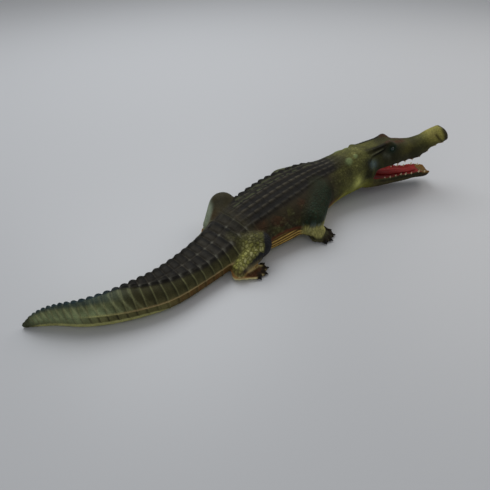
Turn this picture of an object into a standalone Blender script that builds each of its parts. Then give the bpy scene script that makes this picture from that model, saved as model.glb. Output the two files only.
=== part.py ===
"""Moulded rubber crocodile figure, about 1.4 m long, lying on its belly, four feet and tail.

Metres, +Z up. The origin is on the floor under the middle of the trunk, the trunk points to -Y and the
animal's left is +X. Trunk, neck and tail are one loft along a bent spine, parted by thin cuts. The head
and the lower jaw are lofts in frames of their own, turned about the jaw's hinge. The limbs are lofts from
joint to joint, cut clear of the trunk.
"""

import math

import bmesh
import bpy
import numpy as np
from mathutils import Matrix, Vector

# ---------------------------------------------------------------- driving dimensions
GAP = 0.0004  # clearance between neighbouring pieces

# Stations down the body: x and y of the centre line, underside, top of the back, half width,
# squareness of the back and of the belly (2 is an ellipse, more is boxier), and half the spacing of
# the two crests.
BODY_STATIONS = {
    "skull_joint": (-0.062, -0.322, 0.014, 0.160, 0.054, 2.6, 2.1, 0.026),
    "neck": (-0.044, -0.268, 0.004, 0.156, 0.058, 2.1, 2.2, 0.028),
    "shoulders": (-0.020, -0.190, -0.003, 0.133, 0.075, 2.1, 2.5, 0.034),
    "chest": (-0.007, -0.105, -0.006, 0.127, 0.097, 2.2, 3.2, 0.044),
    "belly": (-0.005, -0.010, -0.007, 0.124, 0.107, 2.3, 4.0, 0.050),
    "loin": (-0.004, 0.085, -0.007, 0.114, 0.096, 2.4, 3.8, 0.050),
    "hips": (-0.004, 0.165, -0.006, 0.101, 0.080, 2.6, 3.4, 0.046),
    "tail_root": (-0.013, 0.250, -0.005, 0.078, 0.066, 2.9, 3.5, 0.041),
    "tail_thick": (-0.022, 0.330, -0.005, 0.073, 0.057, 3.0, 3.7, 0.036),
    "tail_middle": (-0.025, 0.410, -0.005, 0.075, 0.050, 2.9, 3.9, 0.029),
    "tail_taper": (-0.014, 0.480, -0.005, 0.082, 0.038, 2.4, 3.8, 0.020),
    "crests_meet": (0.006, 0.545, -0.005, 0.086, 0.026, 1.8, 3.4, 0.007),
    "tail_blade": (0.036, 0.602, -0.004, 0.083, 0.016, 1.6, 3.0, 0.0015),
    "tail_narrow": (0.074, 0.648, -0.003, 0.069, 0.009, 1.6, 2.6, 0.0012),
    "tail_end": (0.100, 0.684, -0.003, 0.046, 0.005, 1.8, 2.4, 0.0010),
    "tail_tip": (0.119, 0.713, -0.002, 0.013, 0.0015, 2.0, 2.0, 0.0006),
}
# The named lengths of the body and the stations they run between.
BODY_PIECES = (
    ("neck", "skull_joint", "shoulders"),
    ("trunk", "shoulders", "loin"),
    ("pelvis", "loin", "tail_root"),
    ("tail_root", "tail_root", "tail_middle"),
    ("tail_middle", "tail_middle", "tail_blade"),
    ("tail_end", "tail_blade", "tail_tip"),
)
CREST_SCUTES = 30  # along each crest, from the hips to the tail's tip
CREST_FIRST_PITCH, CREST_LAST_PITCH = 0.029, 0.011
CREST_HEIGHT = 0.006
CREST_WIDTH = 0.003
CREST_LEAN = 0.6  # where along a scute its tip stands
CREST_STRENGTH = {"hips": 0.1, "tail_root": 1.0, "tail_narrow": 0.8, "tail_tip": 0.1}
RING_SPACING = 0.018  # on the trunk and neck
WAIST = 0.48  # share of the height at which the body is widest
# Where a ring's points stand: from the crest outwards, down the flank and under the belly.
CREST_SHOULDER = 0.3
FINE_MARKS = ((0.35, 0.7, 1.0), (0.2, 0.42, 0.7))
COARSE_MARKS = ((0.5, 1.0), (0.25, 0.6))

HEAD_YAW = math.radians(30)  # turn to the animal's right of the trunk's line
HEAD_PITCH = math.radians(14.5)  # upper jaw, snout up
JAW_PITCH = math.radians(-9)  # lower jaw, tip down
JAW_HINGE = Vector((-0.071, -0.339, 0.085))

# Head sections: distance ahead of the hinge, half width, heights of the top, the widest place and the
# bottom, squareness above and below.
HEAD_SECTIONS = (
    (-0.050, 0.042, 0.066, 0.012, -0.020, 2.2, 2.2),
    (-0.025, 0.056, 0.072, 0.008, -0.036, 1.9, 2.3),
    (0.003, 0.060, 0.073, 0.008, -0.030, 1.7, 2.6),
    (0.017, 0.058, 0.073, 0.014, 0.010, 1.7, 3.0),
    (0.036, 0.055, 0.072, 0.018, 0.004, 1.7, 3.2),
    (0.065, 0.049, 0.066, 0.020, -0.005, 1.8, 3.2),
    (0.095, 0.043, 0.063, 0.018, -0.009, 1.9, 3.2),
    (0.135, 0.036, 0.048, 0.013, -0.015, 2.0, 3.2),
    (0.160, 0.034, 0.042, 0.009, -0.021, 2.0, 3.0),
    (0.186, 0.031, 0.042, 0.012, -0.014, 2.0, 3.0),
    (0.212, 0.030, 0.049, 0.018, 0.002, 2.1, 3.0),
    (0.236, 0.032, 0.051, 0.022, 0.005, 2.0, 2.6),
    (0.258, 0.027, 0.041, 0.020, 0.004, 1.9, 2.4),
    (0.268, 0.012, 0.024, 0.017, 0.010, 2.0, 2.0),
)
# Bumps on the head's top: ahead, aside, height, length, width.
HEAD_BUMPS = (
    (-0.036, 0.027, 0.007, 0.012, 0.010),
    (0.072, 0.025, 0.007, 0.018, 0.011),
    (0.244, 0.009, 0.004, 0.010, 0.007),
)
EYE_PLACE = Vector((0.073, 0.0312, 0.0560))
EYE_RADIUS = 0.0075
# The flat skull deck: where it fades in and out behind and ahead, its half width and edge, and its height.
DECK_SPAN = (-0.050, -0.035, 0.066, 0.098)
DECK_HALF, DECK_EDGE, DECK_TOP = 0.030, 0.006, 0.0745
HEAD_AROUND = 16

# Lower jaw sections in its own frame: ahead, half width, rim height, underside, squareness below.
JAW_SECTIONS = (
    (-0.020, 0.047, -0.010, -0.072, 2.2),
    (0.010, 0.053, -0.016, -0.071, 2.3),
    (0.045, 0.048, -0.016, -0.066, 2.4),
    (0.085, 0.040, -0.015, -0.060, 2.4),
    (0.125, 0.033, -0.010, -0.053, 2.3),
    (0.160, 0.029, -0.007, -0.045, 2.3),
    (0.190, 0.028, 0.000, -0.035, 2.3),
    (0.214, 0.026, 0.000, -0.032, 2.3),
    (0.234, 0.023, 0.001, -0.028, 2.3),
    (0.243, 0.013, -0.003, -0.021, 2.2),
)
MOUTH_DEPTH = 0.006  # how far the mouth's floor lies below the jaw's rim
RIM_ROUNDING = 0.004
JAW_AROUND = 14
RING_GAP = 0.022  # longer gaps between sections of head or jaw have a ring at their middle too
TONGUE_SPAN = (0.044, 0.195)  # ahead of the hinge
TONGUE_WIDTH, TONGUE_HEIGHT = 0.42, 0.0065  # share of the jaw's width, height over the mouth's floor

# Limb segments from the body outwards: each is two joint places with the half thickness at each.
LIMBS = {
    "left": {
        "upper_arm": ((0.035, -0.170, 0.066), 0.042, (0.092, -0.112, 0.051), 0.036),
        "forearm": ((0.098, -0.113, 0.048), 0.030, (0.130, -0.117, 0.027), 0.022),
        "thigh": ((0.035, 0.178, 0.050), 0.038, (0.090, 0.130, 0.072), 0.042),
        "shank": ((0.092, 0.142, 0.060), 0.038, (0.088, 0.180, 0.030), 0.024),
    },
    "right": {
        "upper_arm": ((-0.056, -0.112, 0.074), 0.048, (-0.106, -0.034, 0.056), 0.042),
        "forearm": ((-0.108, -0.026, 0.041), 0.038, (-0.139, -0.036, 0.025), 0.021),
        "thigh": ((-0.030, 0.190, 0.048), 0.040, (-0.086, 0.150, 0.055), 0.036),
        "shank": ((-0.090, 0.172, 0.044), 0.031, (-0.099, 0.226, 0.024), 0.021),
    },
}
# Feet: heel, ball, then the tips of the toes from the inner one outwards.
FEET = {
    "left": {
        "hand": (
            (0.130, -0.112),
            (0.148, -0.130),
            ((0.130, -0.168), (0.153, -0.172), (0.175, -0.160), (0.184, -0.138), (0.180, -0.113)),
        ),
        "foot": (
            (0.088, 0.196),
            (0.114, 0.146),
            ((0.098, 0.104), (0.116, 0.098), (0.134, 0.106), (0.146, 0.124)),
        ),
    },
    "right": {
        "hand": (
            (-0.134, -0.022),
            (-0.151, -0.048),
            ((-0.124, -0.085), (-0.147, -0.089), (-0.169, -0.079), (-0.180, -0.055), (-0.177, -0.031)),
        ),
        "foot": (
            (-0.094, 0.238),
            (-0.122, 0.192),
            ((-0.113, 0.153), (-0.132, 0.156), (-0.147, 0.173), (-0.149, 0.198)),
        ),
    },
}
# Half widths at heel and ball, then heights at heel and ball.
FOOT_SIZES = {"hand": (0.019, 0.025, 0.024, 0.018), "foot": (0.020, 0.025, 0.023, 0.017)}
# Foot sections: share of the way from heel to ball, then width and height against the sizes above.
FOOT_SECTIONS = (
    (-0.20, 0.45, 0.55),
    (-0.10, 0.87, 0.87),
    (0.3, 1.0, 1.0),
    (1.0, 1.0, 0.9),
    (1.24, 0.5, 0.5),
)
FOOT_WAIST = 0.46
LIMB_END_TURNS = (-68, -34)  # degrees round a segment's end at which its rings lie
LIMB_MARKS = (0, 0.5, 1)
LIMB_AROUND = 12
TOE_RADIUS = 0.0086
TOE_ROOT = 0.25  # share of the way from the ball to the toe's tip at which the toe leaves the foot
TOE_SINK = 0.0008
CLAW_LENGTH = 0.012
TOOTH_LENGTH, TOOTH_RADIUS, TOOTH_POINT = 0.0090, 0.0027, 0.0004
TOOTH_ROOTING = 0.25  # share of a tooth's length that stands off its edge's height
LOWER_TEETH = (0.056, 0.214, 8)  # first and last place ahead of the hinge, and how many a side
UPPER_TEETH = (0.066, 0.246, 8)
UPPER_INSET, UPPER_RAISE = 0.0062, 0.0045  # of the tooth row, from the upper jaw's edge
LOWER_INSET = 0.0040

# Colours of the painted rubber: base colour and roughness.
PAINTS = {
    "head": ((0.16, 0.17, 0.08), 0.45),
    "lower_jaw": ((0.14, 0.13, 0.06), 0.45),
    "tongue": ((0.45, 0.05, 0.04), 0.40),
    "eye_left": ((0.02, 0.06, 0.05), 0.15),
    "eye_right": ((0.02, 0.06, 0.05), 0.15),
    "neck": ((0.13, 0.14, 0.06), 0.45),
    "trunk": ((0.10, 0.10, 0.06), 0.45),
    "pelvis": ((0.10, 0.10, 0.06), 0.45),
    "tail_root": ((0.11, 0.11, 0.06), 0.45),
    "tail_middle": ((0.13, 0.14, 0.07), 0.45),
    "tail_end": ((0.15, 0.17, 0.08), 0.45),
}
LIMB_PAINT = ((0.17, 0.17, 0.07), 0.48)
SHARP_ANGLE = 40  # degrees between faces above which an edge shows


# ---------------------------------------------------------------- helpers
def natural_spline(knots, values, at):
    """Natural cubic spline through values (rows) at knots, read at the places in `at`."""
    knots, values = np.asarray(knots, float), np.asarray(values, float)
    n = len(knots)
    step = np.diff(knots)
    slope = np.diff(values, axis=0) / step[:, None]
    system = np.eye(n)
    right = np.zeros_like(values)
    for i in range(1, n - 1):
        system[i, i - 1 : i + 2] = step[i - 1], 2 * (step[i - 1] + step[i]), step[i]
        right[i] = 6 * (slope[i] - slope[i - 1])
    bend = np.linalg.solve(system, right)
    i = np.clip(np.searchsorted(knots, at, side="right") - 1, 0, n - 2)
    a = ((knots[i + 1] - at) / step[i])[:, None]
    b = 1 - a
    cubic = ((a**3 - a) * bend[i] + (b**3 - b) * bend[i + 1]) * step[i][:, None] ** 2 / 6
    return a * values[i] + b * values[i + 1] + cubic


def smooth_steps(knots, values, at):
    """Shape-keeping cubic through values at knots: it never swings past its neighbours."""
    knots, values = np.asarray(knots, float), np.asarray(values, float)
    step = np.diff(knots)[:, None]
    slope = np.diff(values, axis=0) / step
    tangent = np.zeros_like(values)
    same = slope[1:] * slope[:-1] > 0
    w1, w2 = 2 * step[1:] + step[:-1], step[1:] + 2 * step[:-1]
    safe = np.where(same, slope[1:] * slope[:-1], 1.0)
    mean = (w1 + w2) * safe / (w1 * slope[1:] + w2 * slope[:-1] + np.where(same, 0.0, 1.0))
    tangent[1:-1] = np.where(same, mean, 0.0)
    tangent[0], tangent[-1] = slope[0], slope[-1]
    i = np.clip(np.searchsorted(knots, at, side="right") - 1, 0, len(knots) - 2)
    h = step[i]
    t = (at - knots[i])[:, None] / h
    rise = values[i] * (1 + 2 * t) * (1 - t) ** 2 + values[i + 1] * t**2 * (3 - 2 * t)
    return rise + h * (tangent[i] * t * (1 - t) ** 2 - tangent[i + 1] * t**2 * (1 - t))


def unit(v):
    return v / np.linalg.norm(v, axis=-1, keepdims=True)


def signed_power(x, p):
    return np.sign(x) * np.abs(x) ** p


def mesh_object(name, points, faces, collection):
    mesh = bpy.data.meshes.new(name)
    mesh.from_pydata([tuple(p) for p in points], [], faces)
    bm = bmesh.new()
    bm.from_mesh(mesh)
    bmesh.ops.recalc_face_normals(bm, faces=bm.faces[:])
    bm.to_mesh(mesh)
    bm.free()
    obj = bpy.data.objects.new(name, mesh)
    collection.objects.link(obj)
    return obj


def loft(name, rings, collection):
    """Closed solid through rings of equal length, with a fan of triangles on each end."""
    count, around = rings.shape[:2]
    points = np.vstack([rings.reshape(-1, 3), [rings[0].mean(axis=0), rings[-1].mean(axis=0)]])
    faces = []
    for i in range(count - 1):
        for j in range(around):
            k = (j + 1) % around
            here, there = i * around, (i + 1) * around
            faces.append((here + j, here + k, there + k))
            faces.append((here + j, there + k, there + j))
    for ring, centre in ((0, count * around), (count - 1, count * around + 1)):
        for j in range(around):
            faces.append((ring * around + j, ring * around + (j + 1) % around, centre))
    return mesh_object(name, points, faces, collection)


def pressed_flat(points):
    """Flattens what falls below the floor, so that the piece stands on a flat."""
    points = points.copy()
    points[..., 2] = np.maximum(points[..., 2], 0)
    return points


# ---------------------------------------------------------------- body
class Body:
    """The bent trunk, neck and tail, as rings over the distance from the skull."""

    def __init__(self):
        table = np.array(list(BODY_STATIONS.values()), float)
        legs = np.linalg.norm(np.diff(table[:, :2], axis=0), axis=1)
        self.knots = np.concatenate([[0], np.cumsum(legs)])
        self.table = table
        self.place = dict(zip(BODY_STATIONS, self.knots, strict=True))
        pitch = np.linspace(CREST_FIRST_PITCH, CREST_LAST_PITCH, CREST_SCUTES)
        start = self.place["hips"]
        pitch *= (self.knots[-1] - start) / pitch.sum()
        self.valleys = start + np.concatenate([[0], np.cumsum(pitch)])

    def crest(self, at):
        """Height of the crests' scutes over the back, a saw that leans to the tail."""
        scute = np.interp(at, self.valleys, np.arange(len(self.valleys)))
        phase = scute - np.floor(scute)
        saw = np.where(phase < CREST_LEAN, phase / CREST_LEAN, (1 - phase) / (1 - CREST_LEAN))
        return np.where(at > self.valleys[0], saw, 0) * self.strength(at) * CREST_HEIGHT

    def strength(self, at):
        return np.interp(at, [self.place[name] for name in CREST_STRENGTH], list(CREST_STRENGTH.values()))

    def rings(self, at, grow=0.0, fine=True):
        at = np.asarray(at, float)
        line = natural_spline(self.knots, self.table[:, :2], at)
        ahead = natural_spline(self.knots, self.table[:, :2], at + 1e-4)
        behind = natural_spline(self.knots, self.table[:, :2], at - 1e-4)
        along = unit(ahead - behind)
        side = np.stack([along[:, 1], -along[:, 0]], -1)
        low, top, half, above, below, apart = smooth_steps(self.knots, self.table[:, 2:], at).T[..., None]
        low, top, half = low - grow, top + grow, half + grow
        crest = self.crest(at)[:, None]
        top = top - CREST_HEIGHT * self.strength(at)[:, None]
        middle = low + (top - low) * WAIST
        # angles whose points sit on the crest and beside it, then evenly down the flank
        over = ([0.5 * apart] if fine else []) + [apart, apart + CREST_SHOULDER * (half - apart)]
        down, under = (np.array([marks]) for marks in (FINE_MARKS if fine else COARSE_MARKS))
        share = np.clip(np.hstack(over) / half, 0, 0.97)
        upper = np.arcsin(share ** (above / 2))
        flank = upper[:, -1:] + (math.pi / 2 - upper[:, -1:]) * down
        lower = np.repeat(math.pi / 2 + math.pi / 2 * under, len(at), axis=0)
        right = np.hstack([upper, flank, lower])
        ends = np.zeros((len(at), 1))
        angle = np.hstack([ends, right, ends + math.pi, 2 * math.pi - right[:, ::-1]])
        s, c = np.sin(angle), np.cos(angle)
        power = np.where(c > 0, 2 / above, 2 / below)
        across = signed_power(s, power) * half
        high = middle + signed_power(c, power) * np.where(c > 0, top - middle, middle - low)
        on_crest = np.exp(-(((np.abs(across) - apart) / CREST_WIDTH) ** 2)) * (c > 0)
        high = high + crest * on_crest
        plan = line[:, None] + across[..., None] * side[:, None]
        return np.concatenate([plan, high[..., None]], -1)

    def stops(self, first, last):
        """Distances of a piece's rings: at every scute's foot and tip, or evenly on the trunk."""
        tips = self.valleys[:-1] + CREST_LEAN * np.diff(self.valleys)
        even = np.arange(0, self.valleys[0] - RING_SPACING / 2, RING_SPACING)
        marks = np.sort(np.concatenate([self.valleys, tips, even]))
        inner = marks[(marks > first + RING_SPACING / 6) & (marks < last - RING_SPACING / 6)]
        return np.concatenate([[first], inner, [last]])


def build_body(body, collection):
    total = body.knots[-1]
    for name, first, last in BODY_PIECES:
        a, b = body.place[first], body.place[last]
        a += GAP / 2 if a > 0 else 0
        b -= GAP / 2 if b < total else 0
        fine = b < body.place["tail_middle"] + GAP
        loft(name, pressed_flat(body.rings(body.stops(a, b), fine=fine)), collection)


# ---------------------------------------------------------------- head
def head_frame(pitch):
    turn = Matrix.Rotation(-math.pi / 2 - HEAD_YAW, 4, "Z")
    return Matrix.Translation(JAW_HINGE) @ turn @ Matrix.Rotation(-pitch, 4, "Y")


def placed(points, matrix):
    m = np.array(matrix)
    return points @ m[:3, :3].T + m[:3, 3]


def section_points(at, across, high, grow):
    """Points of a head piece from its sections; the ends are grown along the piece as well."""
    ahead = np.repeat(at[:, None], across.shape[1], axis=1)
    ahead[0] -= grow
    ahead[-1] += grow
    return np.stack([ahead, across, high], -1)


def ring_places(stations):
    """The stations, and the middles of the wider gaps between them."""
    middles = (stations[1:] + stations[:-1]) / 2
    return np.sort(np.concatenate([stations, middles[np.diff(stations) > RING_GAP]]))


def head_rings(grow=0.0):
    table = np.array(HEAD_SECTIONS, float)
    at = ring_places(table[:, 0])
    half, top, middle, low, above, below = smooth_steps(table[:, 0], table[:, 1:], at).T[..., None]
    half, top, low = half + grow, top + grow, low - grow
    angle = np.linspace(0, 2 * math.pi, HEAD_AROUND, endpoint=False)[None]
    s, c = np.sin(angle), np.cos(angle)
    power = np.where(c > 0, 2 / above, 2 / below)
    across = signed_power(s, power) * half
    high = middle + signed_power(c, power) * np.where(c > 0, top - middle, middle - low)
    start, full, fade, end = DECK_SPAN
    deck = np.interp(at, (start, full, fade, end), (0, 1, 1, 0))[:, None]
    aside_here = np.abs(signed_power(s, power)) * (half - grow)
    flat = deck * np.clip((DECK_HALF + DECK_EDGE - aside_here) / DECK_EDGE, 0, 1) * (c > 0)
    high = high + flat * np.maximum(DECK_TOP + grow - high, 0)
    for ahead, aside, height, length, width in HEAD_BUMPS:
        near = ((at[:, None] - ahead) / length) ** 2 + ((aside_here - aside) / width) ** 2
        high = high + height * np.exp(-near) * (c > 0)
    return section_points(at, across, high, grow)


def jaw_rings(grow=0.0):
    table = np.array(JAW_SECTIONS, float)
    at = ring_places(table[:, 0])
    half, rim, low, below = smooth_steps(table[:, 0], table[:, 1:], at).T[..., None]
    half, rim, low = half + grow, rim + grow, low - grow
    angle = np.linspace(0, 2 * math.pi, JAW_AROUND, endpoint=False)[None]
    s, c = np.sin(angle), np.cos(angle)
    under = c < 0
    across = signed_power(s, np.where(under, 2 / below, 0.8)) * half
    floor = rim - MOUTH_DEPTH * np.clip(1.25 * (1 - (across / half) ** 2), 0, 1)
    turn = rim - RIM_ROUNDING
    high = np.where(under, turn + signed_power(c, 2 / below) * (turn - low), floor)
    return section_points(at, across, high, grow)


def teeth(name, section, first_last_count, point_down, matrix, collection):
    """Small cones along both edges of a jaw, as one object whose bodies are joined to the jaw later."""
    first, last, count = first_last_count
    bm = bmesh.new()
    for at in np.linspace(first, last, count):
        half, edge = section(at)
        for side in (1, -1):
            stand = -TOOTH_ROOTING * TOOTH_LENGTH if point_down else TOOTH_ROOTING * TOOTH_LENGTH
            place = Matrix.Translation((at, side * half, edge + stand))
            turn = Matrix.Rotation(math.pi if point_down else 0, 4, "X")
            bmesh.ops.create_cone(
                bm,
                cap_ends=True,
                segments=4,
                radius1=TOOTH_RADIUS,
                radius2=TOOTH_POINT,
                depth=TOOTH_LENGTH,
                matrix=matrix @ place @ turn,
            )
    mesh = bpy.data.meshes.new(name)
    bm.to_mesh(mesh)
    bm.free()
    obj = bpy.data.objects.new(name, mesh)
    collection.objects.link(obj)
    return as_cutter(obj)


def as_cutter(obj):
    obj.hide_render = True
    obj.display_type = "WIRE"
    return obj


def combine(obj, other, operation="DIFFERENCE"):
    step = obj.modifiers.new(f"{operation.lower()}_{other.name}", "BOOLEAN")
    step.operation = operation
    step.solver = "EXACT"
    step.object = other
    return obj


def ball(name, centre, radius, collection):
    bm = bmesh.new()
    place = Matrix.Translation(centre)
    bmesh.ops.create_uvsphere(bm, u_segments=10, v_segments=7, radius=radius, matrix=place)
    mesh = bpy.data.meshes.new(name)
    bm.to_mesh(mesh)
    bm.free()
    obj = bpy.data.objects.new(name, mesh)
    collection.objects.link(obj)
    return obj


def upper_edge(at):
    table = np.array(HEAD_SECTIONS)
    half, low = (np.interp(at, table[:, 0], table[:, k]) for k in (1, 4))
    return half - UPPER_INSET, low + UPPER_RAISE


def lower_edge(at):
    table = np.array(JAW_SECTIONS)
    return np.interp(at, table[:, 0], table[:, 1]) - LOWER_INSET, np.interp(at, table[:, 0], table[:, 2])


def tongue_rings(around):
    table = np.array(JAW_SECTIONS, float)
    at = ring_places(table[:, 0])
    at = at[(at >= TONGUE_SPAN[0]) & (at <= TONGUE_SPAN[1])]
    half, rim = smooth_steps(table[:, 0], table[:, 1:3], at).T[..., None]
    swell = np.sin(np.linspace(0.04, 0.96, len(at)) * math.pi)[:, None] ** 0.35
    angle = np.linspace(0, 2 * math.pi, around, endpoint=False)[None]
    across = np.sin(angle) * half * TONGUE_WIDTH * swell
    low = rim - MOUTH_DEPTH + GAP
    high = low + (0.5 + 0.5 * np.cos(angle)) * TONGUE_HEIGHT * swell
    return section_points(at, across, high, 0.0)


def build_head(parts, cutters):
    upper, lower = head_frame(HEAD_PITCH), head_frame(JAW_PITCH)
    head = loft("head", placed(head_rings(), upper), parts)
    jaw = loft("lower_jaw", placed(jaw_rings(), lower), parts)
    head_room = as_cutter(loft("head_room", placed(head_rings(GAP), upper), cutters))
    jaw_room = as_cutter(loft("jaw_room", placed(jaw_rings(GAP), lower), cutters))
    combine(jaw, head_room)
    neck = bpy.data.objects["neck"]
    combine(neck, head_room)
    combine(neck, jaw_room)
    combine(head, teeth("upper_teeth", upper_edge, UPPER_TEETH, True, upper, cutters), "UNION")
    combine(jaw, teeth("lower_teeth", lower_edge, LOWER_TEETH, False, lower, cutters), "UNION")
    loft("tongue", placed(tongue_rings(12), lower), parts)
    for side, word in ((1, "left"), (-1, "right")):
        centre = upper @ Vector((EYE_PLACE.x, EYE_PLACE.y * side, EYE_PLACE.z))
        ball(f"eye_{word}", centre, EYE_RADIUS, parts)
        combine(head, as_cutter(ball(f"eye_room_{word}", centre, EYE_RADIUS + GAP, cutters)))


# ---------------------------------------------------------------- limbs
def capsule_rings(start, start_radius, end, end_radius, grow=0.0):
    """A tapered segment with round ends."""
    start, end = np.array(start, float), np.array(end, float)
    length = np.linalg.norm(end - start)
    along = (end - start) / length
    across = unit(np.cross(along, np.array([0.0, 0.0, 1.0])))
    up = np.cross(across, along)
    r0, r1 = start_radius + grow, end_radius + grow
    turns = np.radians(LIMB_END_TURNS)
    stops = [(math.sin(t) * r0, math.cos(t) * r0) for t in turns]
    stops += [(length * t, r0 + (r1 - r0) * t) for t in LIMB_MARKS]
    stops += [(length + math.sin(-t) * r1, math.cos(t) * r1) for t in turns[::-1]]
    angle = np.linspace(0, 2 * math.pi, LIMB_AROUND, endpoint=False)
    rings = [
        start + along * at + radius * (np.cos(angle)[:, None] * across + np.sin(angle)[:, None] * up)
        for at, radius in stops
    ]
    return pressed_flat(np.array(rings))


def toe_rings(root, tip, around=5):
    root, tip = np.array(root, float), np.array(tip, float)
    length = np.linalg.norm(tip - root)
    along = (tip - root) / length
    across = np.array([along[1], -along[0], 0.0])
    knuckle = (length - CLAW_LENGTH) / length
    stops = ((0.0, 1.0, 1.05), (knuckle, 0.95, 0.9), (knuckle + 0.02, 0.5, 0.6), (0.995, 0.1, 0.12))
    angle = np.linspace(0, 2 * math.pi, around, endpoint=False)
    rings = []
    for share, wide, high in stops:
        centre = root + along * length * share
        ring = centre + TOE_RADIUS * wide * np.cos(angle)[:, None] * across
        ring[:, 2] = TOE_RADIUS * high * (1 + np.sin(angle)) - TOE_SINK
        rings.append(ring)
    return pressed_flat(np.array(rings))


def foot_rings(heel, ball_of_foot, sizes, around=10):
    """The sole and instep, from behind the heel to the roots of the toes."""
    back_half, front_half, back_high, front_high = sizes
    heel, front = np.array([*heel, 0.0]), np.array([*ball_of_foot, 0.0])
    along = unit(front - heel)
    length = np.linalg.norm(front - heel)
    across = np.array([along[1], -along[0], 0.0])
    angle = np.linspace(0, 2 * math.pi, around, endpoint=False)
    rings = []
    for share, wide, high in FOOT_SECTIONS:
        mix = min(max(share, 0), 1)
        half = (back_half + (front_half - back_half) * mix) * wide
        top = (back_high + (front_high - back_high) * mix) * high
        ring = heel + along * length * share + half * signed_power(np.cos(angle), 0.8)[:, None] * across
        ring[:, 2] = top * (FOOT_WAIST + (1 - FOOT_WAIST) * signed_power(np.sin(angle), 0.8))
        rings.append(ring)
    return pressed_flat(np.array(rings))


def build_foot(name, kind, heel, front, tips, parts, cutters):
    foot = loft(name, foot_rings(heel, front, FOOT_SIZES[kind]), parts)
    for i, tip in enumerate(tips):
        root = TOE_ROOT * np.array(tip) + (1 - TOE_ROOT) * np.array(front)
        toe = loft(f"{name}_toe_{i + 1}", toe_rings([*root, 0.0], [*tip, 0.0]), cutters)
        combine(foot, as_cutter(toe), "UNION")
    return foot


def build_limbs(body, parts, cutters):
    stops = body.stops(0.0, body.place["tail_middle"])
    body_room = as_cutter(loft("body_room", body.rings(stops, GAP), cutters))
    for word, segments in LIMBS.items():
        for chain in (("upper_arm", "forearm", "hand"), ("thigh", "shank", "foot")):
            rooms = [body_room]
            for kind in chain:
                name = f"{kind}_{word}"
                if kind in segments:
                    piece = loft(name, capsule_rings(*segments[kind]), parts)
                else:
                    piece = build_foot(name, kind, *FEET[word][kind], parts, cutters)
                for room in rooms:
                    combine(piece, room)
                if kind in segments:
                    room = loft(f"{name}_room", capsule_rings(*segments[kind], GAP), cutters)
                    rooms.append(as_cutter(room))


# ---------------------------------------------------------------- finish
def painted(obj):
    """Gives a piece its own paint and shades it smooth."""
    colour, roughness = PAINTS.get(obj.name, LIMB_PAINT)
    paint = bpy.data.materials.new(f"{obj.name}_paint")
    paint.use_nodes = True
    shader = paint.node_tree.nodes["Principled BSDF"]
    shader.inputs["Base Color"].default_value = (*colour, 1)
    shader.inputs["Roughness"].default_value = roughness
    shader.inputs["Metallic"].default_value = 0
    obj.data.materials.append(paint)
    obj.data.shade_smooth()
    obj.data.set_sharp_from_angle(angle=math.radians(SHARP_ANGLE))


def main():
    for obj in list(bpy.data.objects):
        bpy.data.objects.remove(obj)
    parts = bpy.data.collections.new("crocodile_figure")
    cutters = bpy.data.collections.new("cutters")
    for collection in (parts, cutters):
        bpy.context.scene.collection.children.link(collection)
    body = Body()
    build_body(body, parts)
    build_head(parts, cutters)
    build_limbs(body, parts, cutters)
    for obj in parts.objects:
        painted(obj)


main()
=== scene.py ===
"""Painted moulded crocodile figure lying on a pale floor with its jaws open.

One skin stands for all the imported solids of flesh. It is lofted from the same stations, sections and joints
as they are, fused, smoothed, and then pressed into scutes, rings, scales and folds by the distance along the
body and the place in the head and limbs. Its paint is mixed for each of its points. Teeth, claws, eyes and
tongue are pieces of their own. Metres, +Z up.
"""

import math

import bmesh
import bpy
import numpy as np
from mathutils import Matrix, Vector


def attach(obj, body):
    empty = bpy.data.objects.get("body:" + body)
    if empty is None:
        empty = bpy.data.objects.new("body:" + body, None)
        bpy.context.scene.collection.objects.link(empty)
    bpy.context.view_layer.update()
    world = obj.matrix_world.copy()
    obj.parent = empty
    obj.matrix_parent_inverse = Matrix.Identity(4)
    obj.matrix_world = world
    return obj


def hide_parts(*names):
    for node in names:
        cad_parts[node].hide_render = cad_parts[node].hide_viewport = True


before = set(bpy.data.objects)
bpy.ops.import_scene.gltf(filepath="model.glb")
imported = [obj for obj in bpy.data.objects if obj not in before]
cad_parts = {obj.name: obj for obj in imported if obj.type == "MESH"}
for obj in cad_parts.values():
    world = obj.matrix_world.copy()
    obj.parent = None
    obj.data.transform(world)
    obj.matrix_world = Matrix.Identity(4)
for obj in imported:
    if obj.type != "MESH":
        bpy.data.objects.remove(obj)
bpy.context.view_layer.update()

# ---------------------------------------------------------------- sizes
VOXEL = 0.0026  # of the fused skin, halved once afterwards
SMOOTHING = 5
JUNCTION_SMOOTHING = 40
JUNCTION_REACH = 0.012  # how near two limbs' surfaces lie where their meeting is smoothed
GROUNDED = 0.0004  # lower than this, a point rests on the floor

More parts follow.
